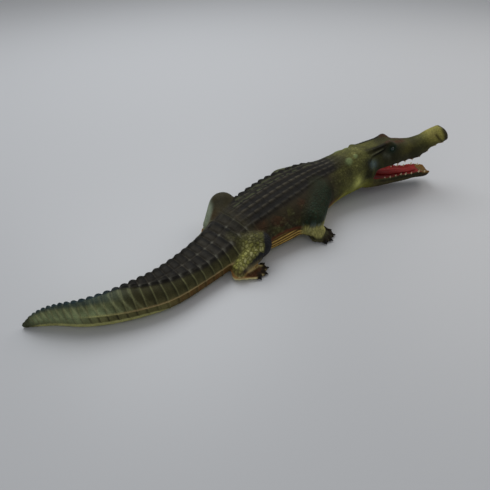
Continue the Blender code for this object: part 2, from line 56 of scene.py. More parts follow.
# Down the body: x and y of the centre line, underside, top of the back, half width, squareness of the back
# and of the belly (2 is an ellipse, more is boxier), and half the spacing of the two crests.
BODY_STATIONS = {
    "skull_joint": (-0.062, -0.322, 0.014, 0.160, 0.054, 2.6, 2.1, 0.026),
    "neck": (-0.044, -0.268, 0.004, 0.156, 0.058, 2.1, 2.2, 0.028),
    "shoulders": (-0.020, -0.190, -0.003, 0.133, 0.075, 2.1, 2.5, 0.034),
    "chest": (-0.007, -0.105, -0.006, 0.127, 0.097, 2.2, 3.2, 0.044),
    "belly": (-0.005, -0.010, -0.007, 0.124, 0.107, 2.3, 4.0, 0.050),
    "loin": (-0.004, 0.085, -0.007, 0.114, 0.096, 2.4, 3.8, 0.050),
    "hips": (-0.004, 0.165, -0.006, 0.101, 0.080, 2.6, 3.4, 0.046),
    "tail_root": (-0.013, 0.250, -0.005, 0.078, 0.066, 2.9, 3.5, 0.041),
    "tail_thick": (-0.022, 0.330, -0.005, 0.073, 0.057, 3.0, 3.7, 0.036),
    "tail_middle": (-0.025, 0.410, -0.005, 0.075, 0.050, 2.9, 3.9, 0.029),
    "tail_taper": (-0.014, 0.480, -0.005, 0.082, 0.038, 2.4, 3.8, 0.020),
    "crests_meet": (0.006, 0.545, -0.005, 0.086, 0.026, 1.8, 3.4, 0.007),
    "tail_blade": (0.036, 0.602, -0.004, 0.083, 0.016, 1.6, 3.0, 0.0015),
    "tail_narrow": (0.074, 0.648, -0.003, 0.069, 0.009, 1.6, 2.6, 0.0012),
    "tail_end": (0.100, 0.684, -0.003, 0.046, 0.005, 1.8, 2.4, 0.0010),
    "tail_tip": (0.119, 0.713, -0.002, 0.013, 0.0015, 2.0, 2.0, 0.0006),
}
WAIST = 0.48
CREST_SCUTES = 30
CREST_FIRST_PITCH, CREST_LAST_PITCH = 0.029, 0.011
TRUNK_PITCH, NECK_PITCH = 0.026, 0.018
CREST_HEIGHT = 0.0085
CREST_SPREAD = 0.35  # how far the crests lean outwards, as a slope
CREST_DROP = 0.006  # how far the back between the crests lies under the stations' top
CREST_STRENGTH = {"hips": 0.1, "tail_root": 1.0, "tail_narrow": 0.8, "tail_tip": 0.1}

HEAD_YAW, HEAD_PITCH, JAW_PITCH = math.radians(30), math.radians(14.5), math.radians(-9)
JAW_HINGE = Vector((-0.071, -0.339, 0.085))
HEAD_START = (0.29, 0.33)  # how far ahead of the frame's middle the neck gives way to the head
# Head: ahead of the hinge, half width, heights of the top, the widest place and the bottom, and the
# squareness above and below.
HEAD_SECTIONS = (
    (-0.050, 0.042, 0.066, 0.012, -0.020, 2.2, 2.2),
    (-0.025, 0.056, 0.072, 0.008, -0.036, 1.9, 2.3),
    (0.003, 0.060, 0.073, 0.008, -0.030, 1.7, 2.6),
    (0.017, 0.058, 0.073, 0.014, 0.010, 1.7, 3.0),
    (0.036, 0.055, 0.072, 0.018, 0.004, 1.7, 3.2),
    (0.065, 0.049, 0.066, 0.020, -0.005, 1.8, 3.2),
    (0.095, 0.043, 0.063, 0.018, -0.009, 1.9, 3.2),
    (0.135, 0.036, 0.048, 0.013, -0.015, 2.0, 3.2),
    (0.160, 0.034, 0.042, 0.009, -0.021, 2.0, 3.0),
    (0.186, 0.031, 0.042, 0.012, -0.014, 2.0, 3.0),
    (0.212, 0.030, 0.049, 0.018, 0.002, 2.1, 3.0),
    (0.236, 0.032, 0.051, 0.022, 0.005, 2.0, 2.6),
    (0.258, 0.027, 0.041, 0.020, 0.004, 1.9, 2.4),
    (0.268, 0.012, 0.024, 0.017, 0.010, 2.0, 2.0),
)
# Bumps on top of it: ahead, aside, height, length, width. They fade out towards the side by BUMP_EDGE.
HEAD_BUMPS = (
    (-0.036, 0.027, 0.007, 0.012, 0.010),
    (0.072, 0.025, 0.007, 0.018, 0.011),
    (0.244, 0.009, 0.004, 0.010, 0.007),
)
# The flat skull deck: where it fades in and out behind and ahead, its half width and edge, and its height.
DECK_SPAN = (-0.050, -0.035, 0.066, 0.098)
DECK_HALF, DECK_EDGE, DECK_TOP = 0.030, 0.006, 0.0745
BUMP_EDGE = 0.15
EYE_PLACE = Vector((0.073, 0.0312, 0.0560))
EYE_RADIUS = 0.0075
# Lower jaw: ahead of the hinge, half width, rim, underside, squareness below.
JAW_SECTIONS = (
    (-0.020, 0.047, -0.010, -0.072, 2.2),
    (0.010, 0.053, -0.016, -0.071, 2.3),
    (0.045, 0.048, -0.016, -0.066, 2.4),
    (0.085, 0.040, -0.015, -0.060, 2.4),
    (0.125, 0.033, -0.010, -0.053, 2.3),
    (0.160, 0.029, -0.007, -0.045, 2.3),
    (0.190, 0.028, 0.000, -0.035, 2.3),
    (0.214, 0.026, 0.000, -0.032, 2.3),
    (0.234, 0.023, 0.001, -0.028, 2.3),
    (0.243, 0.013, -0.003, -0.021, 2.2),
)
MOUTH_DEPTH, MOUTH_FULLNESS = 0.007, 1.25
RIM_ROUNDING, RIM_POWER = 0.004, 0.8
# Upper and lower segment of each limb: start, radius there, end, radius there.
LIMBS = {
    "arm_left": (
        ((0.037, -0.166, 0.070), 0.043, (0.092, -0.112, 0.053), 0.037),
        ((0.098, -0.113, 0.048), 0.030, (0.130, -0.117, 0.027), 0.022),
    ),
    "leg_left": (
        ((0.035, 0.178, 0.050), 0.038, (0.090, 0.130, 0.072), 0.042),
        ((0.092, 0.142, 0.060), 0.038, (0.088, 0.180, 0.030), 0.024),
    ),
    "arm_right": (
        ((-0.056, -0.112, 0.074), 0.048, (-0.106, -0.034, 0.056), 0.042),
        ((-0.108, -0.026, 0.041), 0.038, (-0.139, -0.036, 0.025), 0.021),
    ),
    "leg_right": (
        ((-0.030, 0.190, 0.048), 0.040, (-0.086, 0.150, 0.055), 0.036),
        ((-0.090, 0.172, 0.044), 0.031, (-0.099, 0.226, 0.024), 0.021),
    ),
}
# Feet: heel, ball, then the tips of the toes.
FEET = {
    "arm_left": (
        (0.130, -0.112),
        (0.148, -0.130),
        ((0.130, -0.168), (0.153, -0.172), (0.175, -0.160), (0.184, -0.138), (0.180, -0.113)),
    ),
    "leg_left": (
        (0.088, 0.196),
        (0.114, 0.146),
        ((0.098, 0.104), (0.116, 0.098), (0.134, 0.106), (0.146, 0.124)),
    ),
    "arm_right": (
        (-0.134, -0.022),
        (-0.151, -0.048),
        ((-0.124, -0.085), (-0.147, -0.089), (-0.169, -0.079), (-0.180, -0.055), (-0.177, -0.031)),
    ),
    "leg_right": (
        (-0.094, 0.238),
        (-0.122, 0.192),
        ((-0.113, 0.153), (-0.132, 0.156), (-0.147, 0.173), (-0.149, 0.198)),
    ),
}
# Half widths at heel and ball, then heights at heel and ball.
FOOT_SIZES = {"arm": (0.019, 0.025, 0.024, 0.018), "leg": (0.020, 0.025, 0.023, 0.017)}
FOOT_REACH = (-0.22, 1.28)  # past the heel and past the ball, as shares of the way between them
TOE_RADIUS, TOE_SINK, CLAW_LENGTH = 0.0086, 0.0008, 0.0062


def srgb(red, green, blue):
    """A paint colour from its usual 0 to 255 values, as linear light."""
    c = np.array([red, green, blue]) / 255
    return np.where(c <= 0.04045, c / 12.92, ((c + 0.055) / 1.055) ** 2.4)


# ---------------------------------------------------------------- curves
def natural_spline(knots, values, at):
    """Natural cubic spline through values (rows) at knots, read at the places in `at`."""
    n = len(knots)
    step = np.diff(knots)
    slope = np.diff(values, axis=0) / step[:, None]
    system = np.eye(n)
    right = np.zeros_like(values)
    for i in range(1, n - 1):
        system[i, i - 1 : i + 2] = step[i - 1], 2 * (step[i - 1] + step[i]), step[i]
        right[i] = 6 * (slope[i] - slope[i - 1])
    bend = np.linalg.solve(system, right)
    i = np.clip(np.searchsorted(knots, at, side="right") - 1, 0, n - 2)
    a = ((knots[i + 1] - at) / step[i])[:, None]
    b = 1 - a
    cubic = ((a**3 - a) * bend[i] + (b**3 - b) * bend[i + 1]) * step[i][:, None] ** 2 / 6
    return a * values[i] + b * values[i + 1] + cubic


def smooth_steps(knots, values, at):
    """Shape-keeping cubic through values at knots: it never swings past its neighbours."""
    step = np.diff(knots)[:, None]
    slope = np.diff(values, axis=0) / step
    tangent = np.zeros_like(values)
    same = slope[1:] * slope[:-1] > 0
    w1, w2 = 2 * step[1:] + step[:-1], step[1:] + 2 * step[:-1]
    safe = np.where(same, slope[1:] * slope[:-1], 1.0)
    mean = (w1 + w2) * safe / (w1 * slope[1:] + w2 * slope[:-1] + np.where(same, 0.0, 1.0))
    tangent[1:-1] = np.where(same, mean, 0.0)
    tangent[0], tangent[-1] = slope[0], slope[-1]
    i = np.clip(np.searchsorted(knots, at, side="right") - 1, 0, len(knots) - 2)
    h = step[i]
    t = (at - knots[i])[:, None] / h
    rise = values[i] * (1 + 2 * t) * (1 - t) ** 2 + values[i + 1] * t**2 * (3 - 2 * t)
    return rise + h * (tangent[i] * t * (1 - t) ** 2 - tangent[i + 1] * t**2 * (1 - t))


def unit(v):
    return v / np.maximum(np.linalg.norm(v, axis=-1, keepdims=True), 1e-12)


def signed_power(x, p):
    return np.sign(x) * np.abs(x) ** p


def ramp(x, start, end):
    """0 before start, 1 after end, smooth between."""
    t = np.clip((x - start) / (end - start), 0, 1)
    return t * t * (3 - 2 * t)


def fall(x, start, end):
    """1 before start, 0 after end, smooth between."""
    return ramp(-x, -end, -start)


def window(x, start, full, fade, end):
    """1 from full to fade, 0 before start and after end."""
    return ramp(x, start, full) * fall(x, fade, end)


def near(x, width):
    """1 at 0, fading out on both sides over the width."""
    return np.exp(-((x / width) ** 2))


def at_section(sections, column, ahead):
    """A column of a table of sections of the head or jaw, read at places ahead of the hinge."""
    table = np.array(sections)
    return np.interp(ahead, table[:, 0], table[:, column])


# ---------------------------------------------------------------- body's own coordinates
TABLE = np.array(list(BODY_STATIONS.values()), float)
KNOTS = np.concatenate([[0], np.cumsum(np.linalg.norm(np.diff(TABLE[:, :2], axis=0), axis=1))])
PLACE = dict(zip(BODY_STATIONS, KNOTS, strict=True))
LENGTH = KNOTS[-1]


def crest_strength(at):
    return np.interp(at, [PLACE[name] for name in CREST_STRENGTH], list(CREST_STRENGTH.values()))


def body_sections(at):
    """Centre, direction to the animal's left, and the section's sizes at distances along the body."""
    before, line, after = (natural_spline(KNOTS, TABLE[:, :2], at + step) for step in (-1e-4, 0, 1e-4))
    along = unit(after - before)
    side = np.stack([along[:, 1], -along[:, 0]], -1)
    sizes = smooth_steps(KNOTS, TABLE[:, 2:], np.clip(at, 0, LENGTH))
    sizes[:, 1] -= CREST_DROP * crest_strength(at)
    return line, along, side, sizes


def ring_valleys():
    """Distances of the grooves between the rings of scutes, from the skull to the tail's tip."""
    pitch = np.linspace(CREST_FIRST_PITCH, CREST_LAST_PITCH, CREST_SCUTES)
    start = PLACE["hips"]
    behind = start + np.cumsum(pitch * (LENGTH - start) / pitch.sum())
    ahead = [start]
    while ahead[-1] > 0:
        share = ahead[-1] / start
        ahead.append(ahead[-1] - (NECK_PITCH + (TRUNK_PITCH - NECK_PITCH) * min(1, share * 1.6)))
    return np.concatenate([ahead[::-1], behind])


VALLEYS = ring_valleys()


def along_body(points):
    """Distance along the body and offset to the animal's left, for points anywhere round it."""
    fine = np.linspace(0, LENGTH, 1100)
    line, along, side, _ = body_sections(fine)
    s = np.interp(points[:, 1], line[:, 1], fine)
    for _ in range(5):
        centre = np.stack([np.interp(s, fine, line[:, k]) for k in (0, 1)], 1)
        ahead = np.stack([np.interp(s, fine, along[:, k]) for k in (0, 1)], 1)
        s = s + 0.9 * ((points[:, :2] - centre) * ahead).sum(1)
    centre = np.stack([np.interp(s, fine, line[:, k]) for k in (0, 1)], 1)
    left = np.stack([np.interp(s, fine, side[:, k]) for k in (0, 1)], 1)
    return s, ((points[:, :2] - centre) * left).sum(1)


# ---------------------------------------------------------------- solids to fuse
def tube(rings, faces, points):
    """Adds a closed tube through rings of equal length to the growing lists."""
    count, around = rings.shape[:2]
    first = sum(len(p) for p in points)
    points.append(np.vstack([rings.reshape(-1, 3), rings[0].mean(axis=0), rings[-1].mean(axis=0)]))
    k = np.arange(around)
    n = (k + 1) % around
    for i in range(count - 1):
        here, there = first + i * around, first + (i + 1) * around
        faces.extend(zip(here + k, here + n, there + n, there + k, strict=True))
    for ring, centre, flip in ((0, 0, True), (count - 1, 1, False)):
        base, middle = first + ring * around, first + count * around + centre
        ends = (base + n, base + k) if flip else (base + k, base + n)
        faces.extend(zip(*ends, np.full(around, middle), strict=True))


def circle(count):
    return np.linspace(0, 2 * math.pi, count, endpoint=False)


def pressed_flat(points):
    points[..., 2] = np.maximum(points[..., 2], 0)
    return points


def squared_section(half, top, middle, low, above, below, around):
    """Points round a section, aside and up, and the cosine of each one's turn from the top."""
    angle = circle(around)[None]
    s, c = np.sin(angle), np.cos(angle)
    power = np.where(c > 0, 2 / above, 2 / below)
    across = signed_power(s, power) * half
    return across, middle + signed_power(c, power) * np.where(c > 0, top - middle, middle - low), c


def body_rings(spacing=0.004, around=120):
    at = np.linspace(0, LENGTH, int(LENGTH / spacing))
    line, _, side, sizes = body_sections(at)
    low, top, half, above, below, _ = sizes.T[..., None]
    across, high, _ = squared_section(half, top, low + (top - low) * WAIST, low, above, below, around)
    plan = line[:, None] + across[..., None] * side[:, None]
    return pressed_flat(np.concatenate([plan, high[..., None]], -1))


def head_frame(pitch):
    turn = Matrix.Rotation(-math.pi / 2 - HEAD_YAW, 4, "Z")
    return Matrix.Translation(JAW_HINGE) @ turn @ Matrix.Rotation(-pitch, 4, "Y")


UPPER, LOWER = head_frame(HEAD_PITCH), head_frame(JAW_PITCH)


def placed(points, matrix):
    m = np.array(matrix)
    return points @ m[:3, :3].T + m[:3, 3]


def rings_in(matrix, at, across, high):
    """Rings of points given by how far ahead, aside and up they lie in the head's or the jaw's frame."""
    return placed(np.stack([np.repeat(at[:, None], across.shape[1], axis=1), across, high], -1), matrix)


def head_rings(count=110, around=96):
    table = np.array(HEAD_SECTIONS, float)
    at = np.linspace(table[0, 0], table[-1, 0], count)
    sizes = smooth_steps(table[:, 0], table[:, 1:], at).T[..., None]
    across, high, c = squared_section(*sizes, around)
    start, full, fade, end = DECK_SPAN
    deck = window(at, start, full, fade, end)
    flat = deck[:, None] * ramp(DECK_HALF + DECK_EDGE - np.abs(across), 0, DECK_EDGE) * (c > 0)
    high = high + flat * np.maximum(DECK_TOP - high, 0)
    for ahead, aside, height, length, width in HEAD_BUMPS:
        spot = ((at[:, None] - ahead) / length) ** 2 + ((np.abs(across) - aside) / width) ** 2
        high = high + height * np.exp(-spot) * ramp(c, 0, BUMP_EDGE)
    return rings_in(UPPER, at, across, high)


def jaw_rings(count=100, around=96):
    table = np.array(JAW_SECTIONS, float)
    at = np.linspace(table[0, 0], table[-1, 0], count)
    half, rim, low, below = smooth_steps(table[:, 0], table[:, 1:], at).T[..., None]
    angle = circle(around)[None]
    s, c = np.sin(angle), np.cos(angle)
    under = c < 0
    across = signed_power(s, np.where(under, 2 / below, RIM_POWER)) * half
    floor = rim - MOUTH_DEPTH * np.clip(MOUTH_FULLNESS * (1 - (across / half) ** 2), 0, 1)
    turn = rim - RIM_ROUNDING
    high = np.where(under, turn + signed_power(c, 2 / below) * (turn - low), floor)
    return rings_in(LOWER, at, across, high)


def capsule_rings(start, start_radius, end, end_radius, around=40):
    start, end = np.array(start, float), np.array(end, float)
    length = np.linalg.norm(end - start)
    along = (end - start) / length
    across = unit(np.cross(along, np.array([0.0, 0.0, 1.0])))
    up = np.cross(across, along)
    turns = np.radians(np.linspace(-85, -8, 8))
    stops = [(math.sin(t) * start_radius, math.cos(t) * start_radius) for t in turns]
    stops += [(length * t, start_radius + (end_radius - start_radius) * t) for t in np.linspace(0, 1, 14)]
    stops += [(length + math.sin(-t) * end_radius, math.cos(t) * end_radius) for t in turns[::-1]]
    angle = circle(around)[:, None]
    around_axis = np.cos(angle) * across + np.sin(angle) * up
    return pressed_flat(np.array([start + along * at + radius * around_axis for at, radius in stops]))


def on_floor(start, end):
    """Both places as points on the floor, the direction from one to the other, and the direction across."""
    start, end = np.array([*start, 0.0]), np.array([*end, 0.0])
    along = unit(end - start)
    return start, end, along, np.array([along[1], -along[0], 0.0])


def foot_rings(heel, front, sizes, around=48):
    back_half, front_half, back_high, front_high = sizes
    heel, front, along, across = on_floor(heel, front)
    length = np.linalg.norm(front - heel)
    shares = np.linspace(*FOOT_REACH, 24)
    end_round = np.sqrt(np.clip(1 - np.clip((np.abs(shares - 0.53) - 0.5) / 0.26, 0, 0.98) ** 2, 0, 1))
    angle = circle(around)
    rings = []
    for share, wide in zip(shares, end_round, strict=True):
        forward = min(max(share, 0), 1)
        half = (back_half + (front_half - back_half) * forward) * wide
        top = (back_high + (front_high - back_high) * forward) * (0.4 + 0.6 * wide)
        ring = heel + along * length * share + half * signed_power(np.cos(angle), 0.8)[:, None] * across
        ring[:, 2] = top * (0.46 + 0.54 * signed_power(np.sin(angle), 0.8))
        rings.append(ring)
    return pressed_flat(np.array(rings))


def toe_line(front, tip):
    """Root and tip of a toe on the floor, its direction and the direction across."""
    front, tip, along, across = on_floor(front, tip)
    return front + 0.15 * (tip - front), tip - along * CLAW_LENGTH * 0.55, along, across


def toe_rings(front, tip, around=24):
    root, end, _, across = toe_line(front, tip)
    angle = circle(around)
    rings = []
    for t in np.linspace(0, 1, 18):
        swell = 1 + 0.16 * math.sin(t * math.pi * 2.6 + 0.3)
        wide = TOE_RADIUS * swell * math.sqrt(max(0.02, 1 - max(0, (t - 0.72) / 0.28) ** 2))
        ring = root + (end - root) * t + wide * np.cos(angle)[:, None] * across
        ring[:, 2] = wide * (1.15 - 0.3 * t) * (1 + np.sin(angle)) - TOE_SINK
        rings.append(ring)
    return pressed_flat(np.array(rings))


def closed_mesh(name, tubes):
    """One mesh of several closed tubes, its faces turned outwards."""
    points, faces = [], []
    for rings in tubes:
        tube(rings, faces, points)
    mesh = bpy.data.meshes.new(name)
    mesh.from_pydata(np.vstack(points).tolist(), [], [tuple(int(i) for i in f) for f in faces])
    bm = bmesh.new()
    bm.from_mesh(mesh)
    bmesh.ops.recalc_face_normals(bm, faces=bm.faces[:])
    bm.to_mesh(mesh)
    bm.free()
    return mesh


def fused_solids():
    """All the solids of flesh in one mesh of overlapping closed shells."""
    tubes = [body_rings(), head_rings(), jaw_rings()]
    for name, segments in LIMBS.items():
        heel, front, tips = FEET[name]
        tubes += [capsule_rings(*segment) for segment in segments]
        tubes.append(foot_rings(heel, front, FOOT_SIZES[name[:3]]))
        tubes += [toe_rings(front, tip) for tip in tips]
    return closed_mesh("solids", tubes)


# ---------------------------------------------------------------- distances to each solid
def capsule_distance(points, start, r0, end, r1):
    start, end = np.array(start), np.array(end)
    along = end - start
    t = np.clip((points - start) @ along / (along @ along), 0, 1)
    gap = np.linalg.norm(points - start - t[:, None] * along, axis=1)
    return gap - (r0 + (r1 - r0) * t)


def limb_distance(points, name):
    """Distance to a limb's surface, and how much nearer its foot lies than the rest of it."""
    first, second = LIMBS[name]
    segments = np.minimum(capsule_distance(points, *first), capsule_distance(points, *second))
    heel, front, tips = FEET[name]
    sole = capsule_distance(points, (*heel, 0.008), 0.016, (*front, 0.008), 0.022)
    toes = [capsule_distance(points, (*front, 0.007), 0.008, (*tip, 0.006), 0.007) for tip in tips]
    foot = np.minimum(sole, np.min(toes, axis=0))
    return np.minimum(segments, foot), foot - segments


def body_distance(points, s, across, sizes):
    low, top, half, above, below, _ = sizes.T
    middle = low + (top - low) * WAIST
    high = points[:, 2] - middle
    power = np.where(high > 0, above, below)
    rise = np.where(high > 0, top - middle, middle - low)
    level = (np.abs(across / half) ** power + np.abs(high / rise) ** power) ** (1 / power)
    return (level - 1) * np.minimum(half, rise) + np.maximum(0, -s)


def section_level(local, table, columns):
    """How far outside a head section a point lies, in metres."""
    a = np.clip(local[:, 0], table[0, 0], table[-1, 0])
    half, top, low = (np.interp(a, table[:, 0], table[:, k]) for k in columns)
    middle, rise = (top + low) / 2, (top - low) / 2
    level = np.sqrt((local[:, 1] / half) ** 2 + ((local[:, 2] - middle) / rise) ** 2)
    return (level - 1) * np.minimum(half, rise) + np.abs(local[:, 0] - a)


# ---------------------------------------------------------------- patterns
CELL_PRIMES, SEED_PRIME, MIX_PRIMES = (73856093, 19349663, 83492791), 2654435761, (668265263, 2246822519)


def cells(points, size, seed):
    """Distances, in cells, to the nearest two of scattered seeds, and a number that the nearest one bears."""
    q = points / size
    base = np.floor(q).astype(np.int64)
    best, second = np.full(len(q), 9.0), np.full(len(q), 9.0)
    tone = np.zeros(len(q))
    for step in np.ndindex(3, 3, 3):
        cell = base + step - 1
        mixed = np.bitwise_xor.reduce(cell * CELL_PRIMES, axis=1) ^ (seed * SEED_PRIME)
        mixed = (mixed * MIX_PRIMES[0]) & 0xFFFFFFFF
        mixed = (mixed ^ (mixed >> 15)) * MIX_PRIMES[1] & 0xFFFFFFFF
        mixed = mixed ^ (mixed >> 13)
        jitter = np.stack([mixed & 1023, (mixed >> 10) & 1023, (mixed >> 20) & 1023], 1) / 1023
        gap = np.linalg.norm(q - cell - jitter, axis=1)
        closer = gap < best
        second = np.where(closer, best, np.minimum(second, gap))
        tone = np.where(closer, (mixed & 255) / 255, tone)
        best = np.where(closer, gap, best)
    return best, second, tone


def pebbles(points, size, seed):
    """Rounded scales: height 0 in the creases to 1 on top, and each scale's own number."""
    best, second, tone = cells(points, size, seed)
    return np.clip((second - best) * 2.2, 0, 1) ** 0.6, tone


def groove_gap(local, line, flat=(0, 2)):
    """Distance to a bent line through the given places, in a side view or in plan."""
    p = local[:, flat]
    best = np.full(len(p), 9.0)
    for a, b in zip(line[:-1], line[1:], strict=True):
        a, b = np.array(a), np.array(b)
        t = np.clip((p - a) @ (b - a) / ((b - a) @ (b - a)), 0, 1)
        best = np.minimum(best, np.linalg.norm(p - a - t[:, None] * (b - a), axis=1))
    return best


# ---------------------------------------------------------------- the skin's shape
def evaluated_mesh(obj):
    """The object's mesh with its modifiers taken in, and the modifiers gone."""
    mesh = bpy.data.meshes.new_from_object(obj.evaluated_get(bpy.context.evaluated_depsgraph_get()))
    obj.modifiers.clear()
    obj.data = mesh
    return mesh


def placed_object(name, data):
    obj = bpy.data.objects.new(name, data)
    bpy.context.scene.collection.objects.link(obj)
    return obj


def read_rows(items, key, kind=float, width=3):
    """One value of each of a mesh's items, as rows of numbers."""
    values = np.zeros(len(items) * width, kind)
    items.foreach_get(key, values)
    return values.reshape(-1, width)


def write_points(mesh, points):
    mesh.vertices.foreach_set("co", points.ravel())
    mesh.update()


def smoothed(points, edges, weight, rounds):
    """Moves each point towards the middle of its neighbours, by its weight, and keeps the flats down."""
    a, b = edges.T
    count = len(points)
    degree = np.bincount(edges.ravel(), minlength=count)[:, None]
    grounded = points[:, 2] < GROUNDED
    for _ in range(rounds):
        pull = [np.bincount(a, points[b, k], count) + np.bincount(b, points[a, k], count) for k in range(3)]
        points = points + weight[:, None] * (np.stack(pull, 1) / degree - points)
        points[grounded, 2] = 0
    return points


def smooth_skin():
    """The fused solids as one skin, smoothed most where limbs and body meet."""
    skin = placed_object("skin", fused_solids())
    fuse = skin.modifiers.new("fuse", "REMESH")
    fuse.mode = "VOXEL"
    fuse.voxel_size = VOXEL
    mesh = evaluated_mesh(skin)
    points = read_rows(mesh.vertices, "co")
    edges = read_rows(mesh.edges, "vertices", np.int32, 2)
    points = smoothed(points, edges, 0.5 * Regions(points).junction, JUNCTION_SMOOTHING)
    points = smoothed(points, edges, np.full(len(points), 0.5), SMOOTHING)
    write_points(mesh, points)
    finer = skin.modifiers.new("finer", "SUBSURF")
    finer.levels = finer.render_levels = 1
    evaluated_mesh(skin)
    return skin


class Regions:
    """Where each point of the skin lies: its coordinates along the body, in the head, jaw and limbs.

    The functions that press scales and folds into the skin add what its paint needs to know about them.
    """

    def __init__(self, points):
        self.points, self.z = points, points[:, 2]
        self.s, self.across = along_body(points)
        _, _, self.side, sizes = body_sections(np.clip(self.s, 0, LENGTH))
        low, top, _, _, _, self.apart = sizes.T
        self.aside = self.across / self.apart
        self.height = np.clip((self.z - low) / (top - low), 0, 1.3)
        self.phase, self.to_groove = ring_phase(self.s)
        body = body_distance(points, self.s, self.across, sizes)
        self.head, self.jaw = placed(points, UPPER.inverted()), placed(points, LOWER.inverted())
        head = section_level(self.head, np.array(HEAD_SECTIONS), (1, 2, 4))
        jaw = section_level(self.jaw, np.array(JAW_SECTIONS), (1, 2, 3))
        front = ramp(-points[:, 1], *HEAD_START)
        above = ramp(jaw - head, -0.004, 0.004)
        self.in_head, self.in_jaw = front * above, front * (1 - above)
        self.limb_gap, self.down_limb, self.in_limb = {}, {}, {}
        for name in LIMBS:
            gap, self.down_limb[name] = limb_distance(points, name)
            self.limb_gap[name] = gap
            self.in_limb[name] = ramp(body - gap, -0.004, 0.010) * (1 - front)
        order = np.sort(np.stack([body, *self.limb_gap.values()]), axis=0)
        self.junction = near(np.maximum(order[1], 0), JUNCTION_REACH)
        self.limb = np.max(list(self.in_limb.values()), axis=0)
        self.body = (1 - front) * (1 - self.limb)


# ---------------------------------------------------------------- scales, keels and folds
# Rows of keels on the trunk and columns of plates on the tail, in half spacings of the crests, with the half
# width and the rises of each; where the smooth neck ends; and the nape's big scales: at, aside, size.
KEEL_ROWS, KEEL_HALF = (-1.5, -1.0, -0.5, 0.0, 0.5, 1.0, 1.5), 0.25
PLATE_COLUMNS, PLATE_HALF = (-0.46, 0.46), 0.46
OUTER_KEEL, INNER_KEEL, PLATE_RISE = 0.0084, 0.0040, 0.0024
NECK_END = 0.150
NAPE_SCALES = ((0.076, 0.032, 0.0115), (0.050, 0.026, 0.0075))
# Places down the tail and how far aside the right crest runs there: it crosses over to the left one.
RIGHT_CREST = (0.64, 0.72, 0.79, 0.85), (-1.0, -0.65, -0.10, 0.90)
RIGHT_CREST_SHARE = 0.60  # its height, as a share of the left one's
ONE_CREST = 0.84  # from here on both are painted as one
CREST_WIDTHS = (0.0072, 0.0044, 0.0020)  # at the tail's root, where the crests meet, and at its tip
# Folds along the belly's edge: how they rise down the body, and their pitch as shapes and as paint.
FOLD_SLOPE, FOLD_PITCH, FOLD_PAINT_PITCH = 0.12, 0.0085, 0.0115
# The belly's paint reaches this share of the height, and more near a place: how much, where, how near.
BELLY_EDGE, BELLY_BULGE = 0.34, (0.19, 0.405, 0.075)
# Sizes and numbers of the scatters that make the scales, and the clouds in the flank's paint.
FLANK_SCALE, LIMB_SCALE, HEAD_SCALE, JAW_SCALE = (0.0085, 3), (0.0080, 11), (0.0062, 5), (0.0060, 7)
CLOUD = (0.030, 21)
THROAT_LUMP = (0.048, 0.020, 0.42, 0.15, 0.0040)  # at, length, height, its reach, rise
EYE_RIM, NOSTRIL_RIM = 0.0112, 0.0062
# In plan, the raised crease that runs round the right hind leg above its foot.
ANKLE_CREASE = ((-0.1045, 0.237), (-0.1185, 0.215), (-0.1205, 0.190), (-0.1215, 0.171))
# Side views of the grooves below the skull deck's edge, and of the smooth ridge between them.
TEMPLE_GROOVE = ((-0.026, 0.058), (-0.016, 0.066), (0.020, 0.068), (0.058, 0.073))
TEMPLE_BAND = ((-0.030, 0.058), (-0.014, 0.069), (0.022, 0.0725), (0.050, 0.077))
TEMPLE_RIDGE = ((0.006, 0.060), (0.024, 0.0625), (0.044, 0.066))
EAR_GROOVE = ((-0.004, 0.050), (0.014, 0.056), (0.047, 0.062))
# Side view of the brow, and in plan the red-brown streak from it on to the snout.
BROW = ((0.050, 0.070), (0.072, 0.072), (0.098, 0.060))
BROW_STREAK = ((0.064, 0.021), (0.085, 0.016), (0.125, 0.006))
NOSTRIL = (0.2455, 0.0135, 0.0405)
NOSE_FOLD = ((0.222, 0.040), (0.227, 0.030), (0.238, 0.016))
JAW_GROOVE = ((-0.01, -0.048), (0.05, -0.044), (0.12, -0.032), (0.20, -0.018))


def ring_phase(s):
    """Place within the ring of scutes, 0 to 1 towards the tail, and the metres to the nearest groove."""
    index = np.clip(np.searchsorted(VALLEYS, s, side="right") - 1, 0, len(VALLEYS) - 2)
    first, pitch = VALLEYS[index], np.diff(VALLEYS)[index]
    phase = np.clip((s - first) / pitch, 0, 1)
    return phase, np.minimum(phase, 1 - phase) * pitch


def scute_rows(r, centres, width):
    """Place across the nearest row of scutes, -1 to 1, and the row's number."""
    nearest = np.abs(r.aside[:, None] - np.array(centres)[None]).argmin(axis=1)
    return (r.aside - np.array(centres)[nearest]) / width, nearest


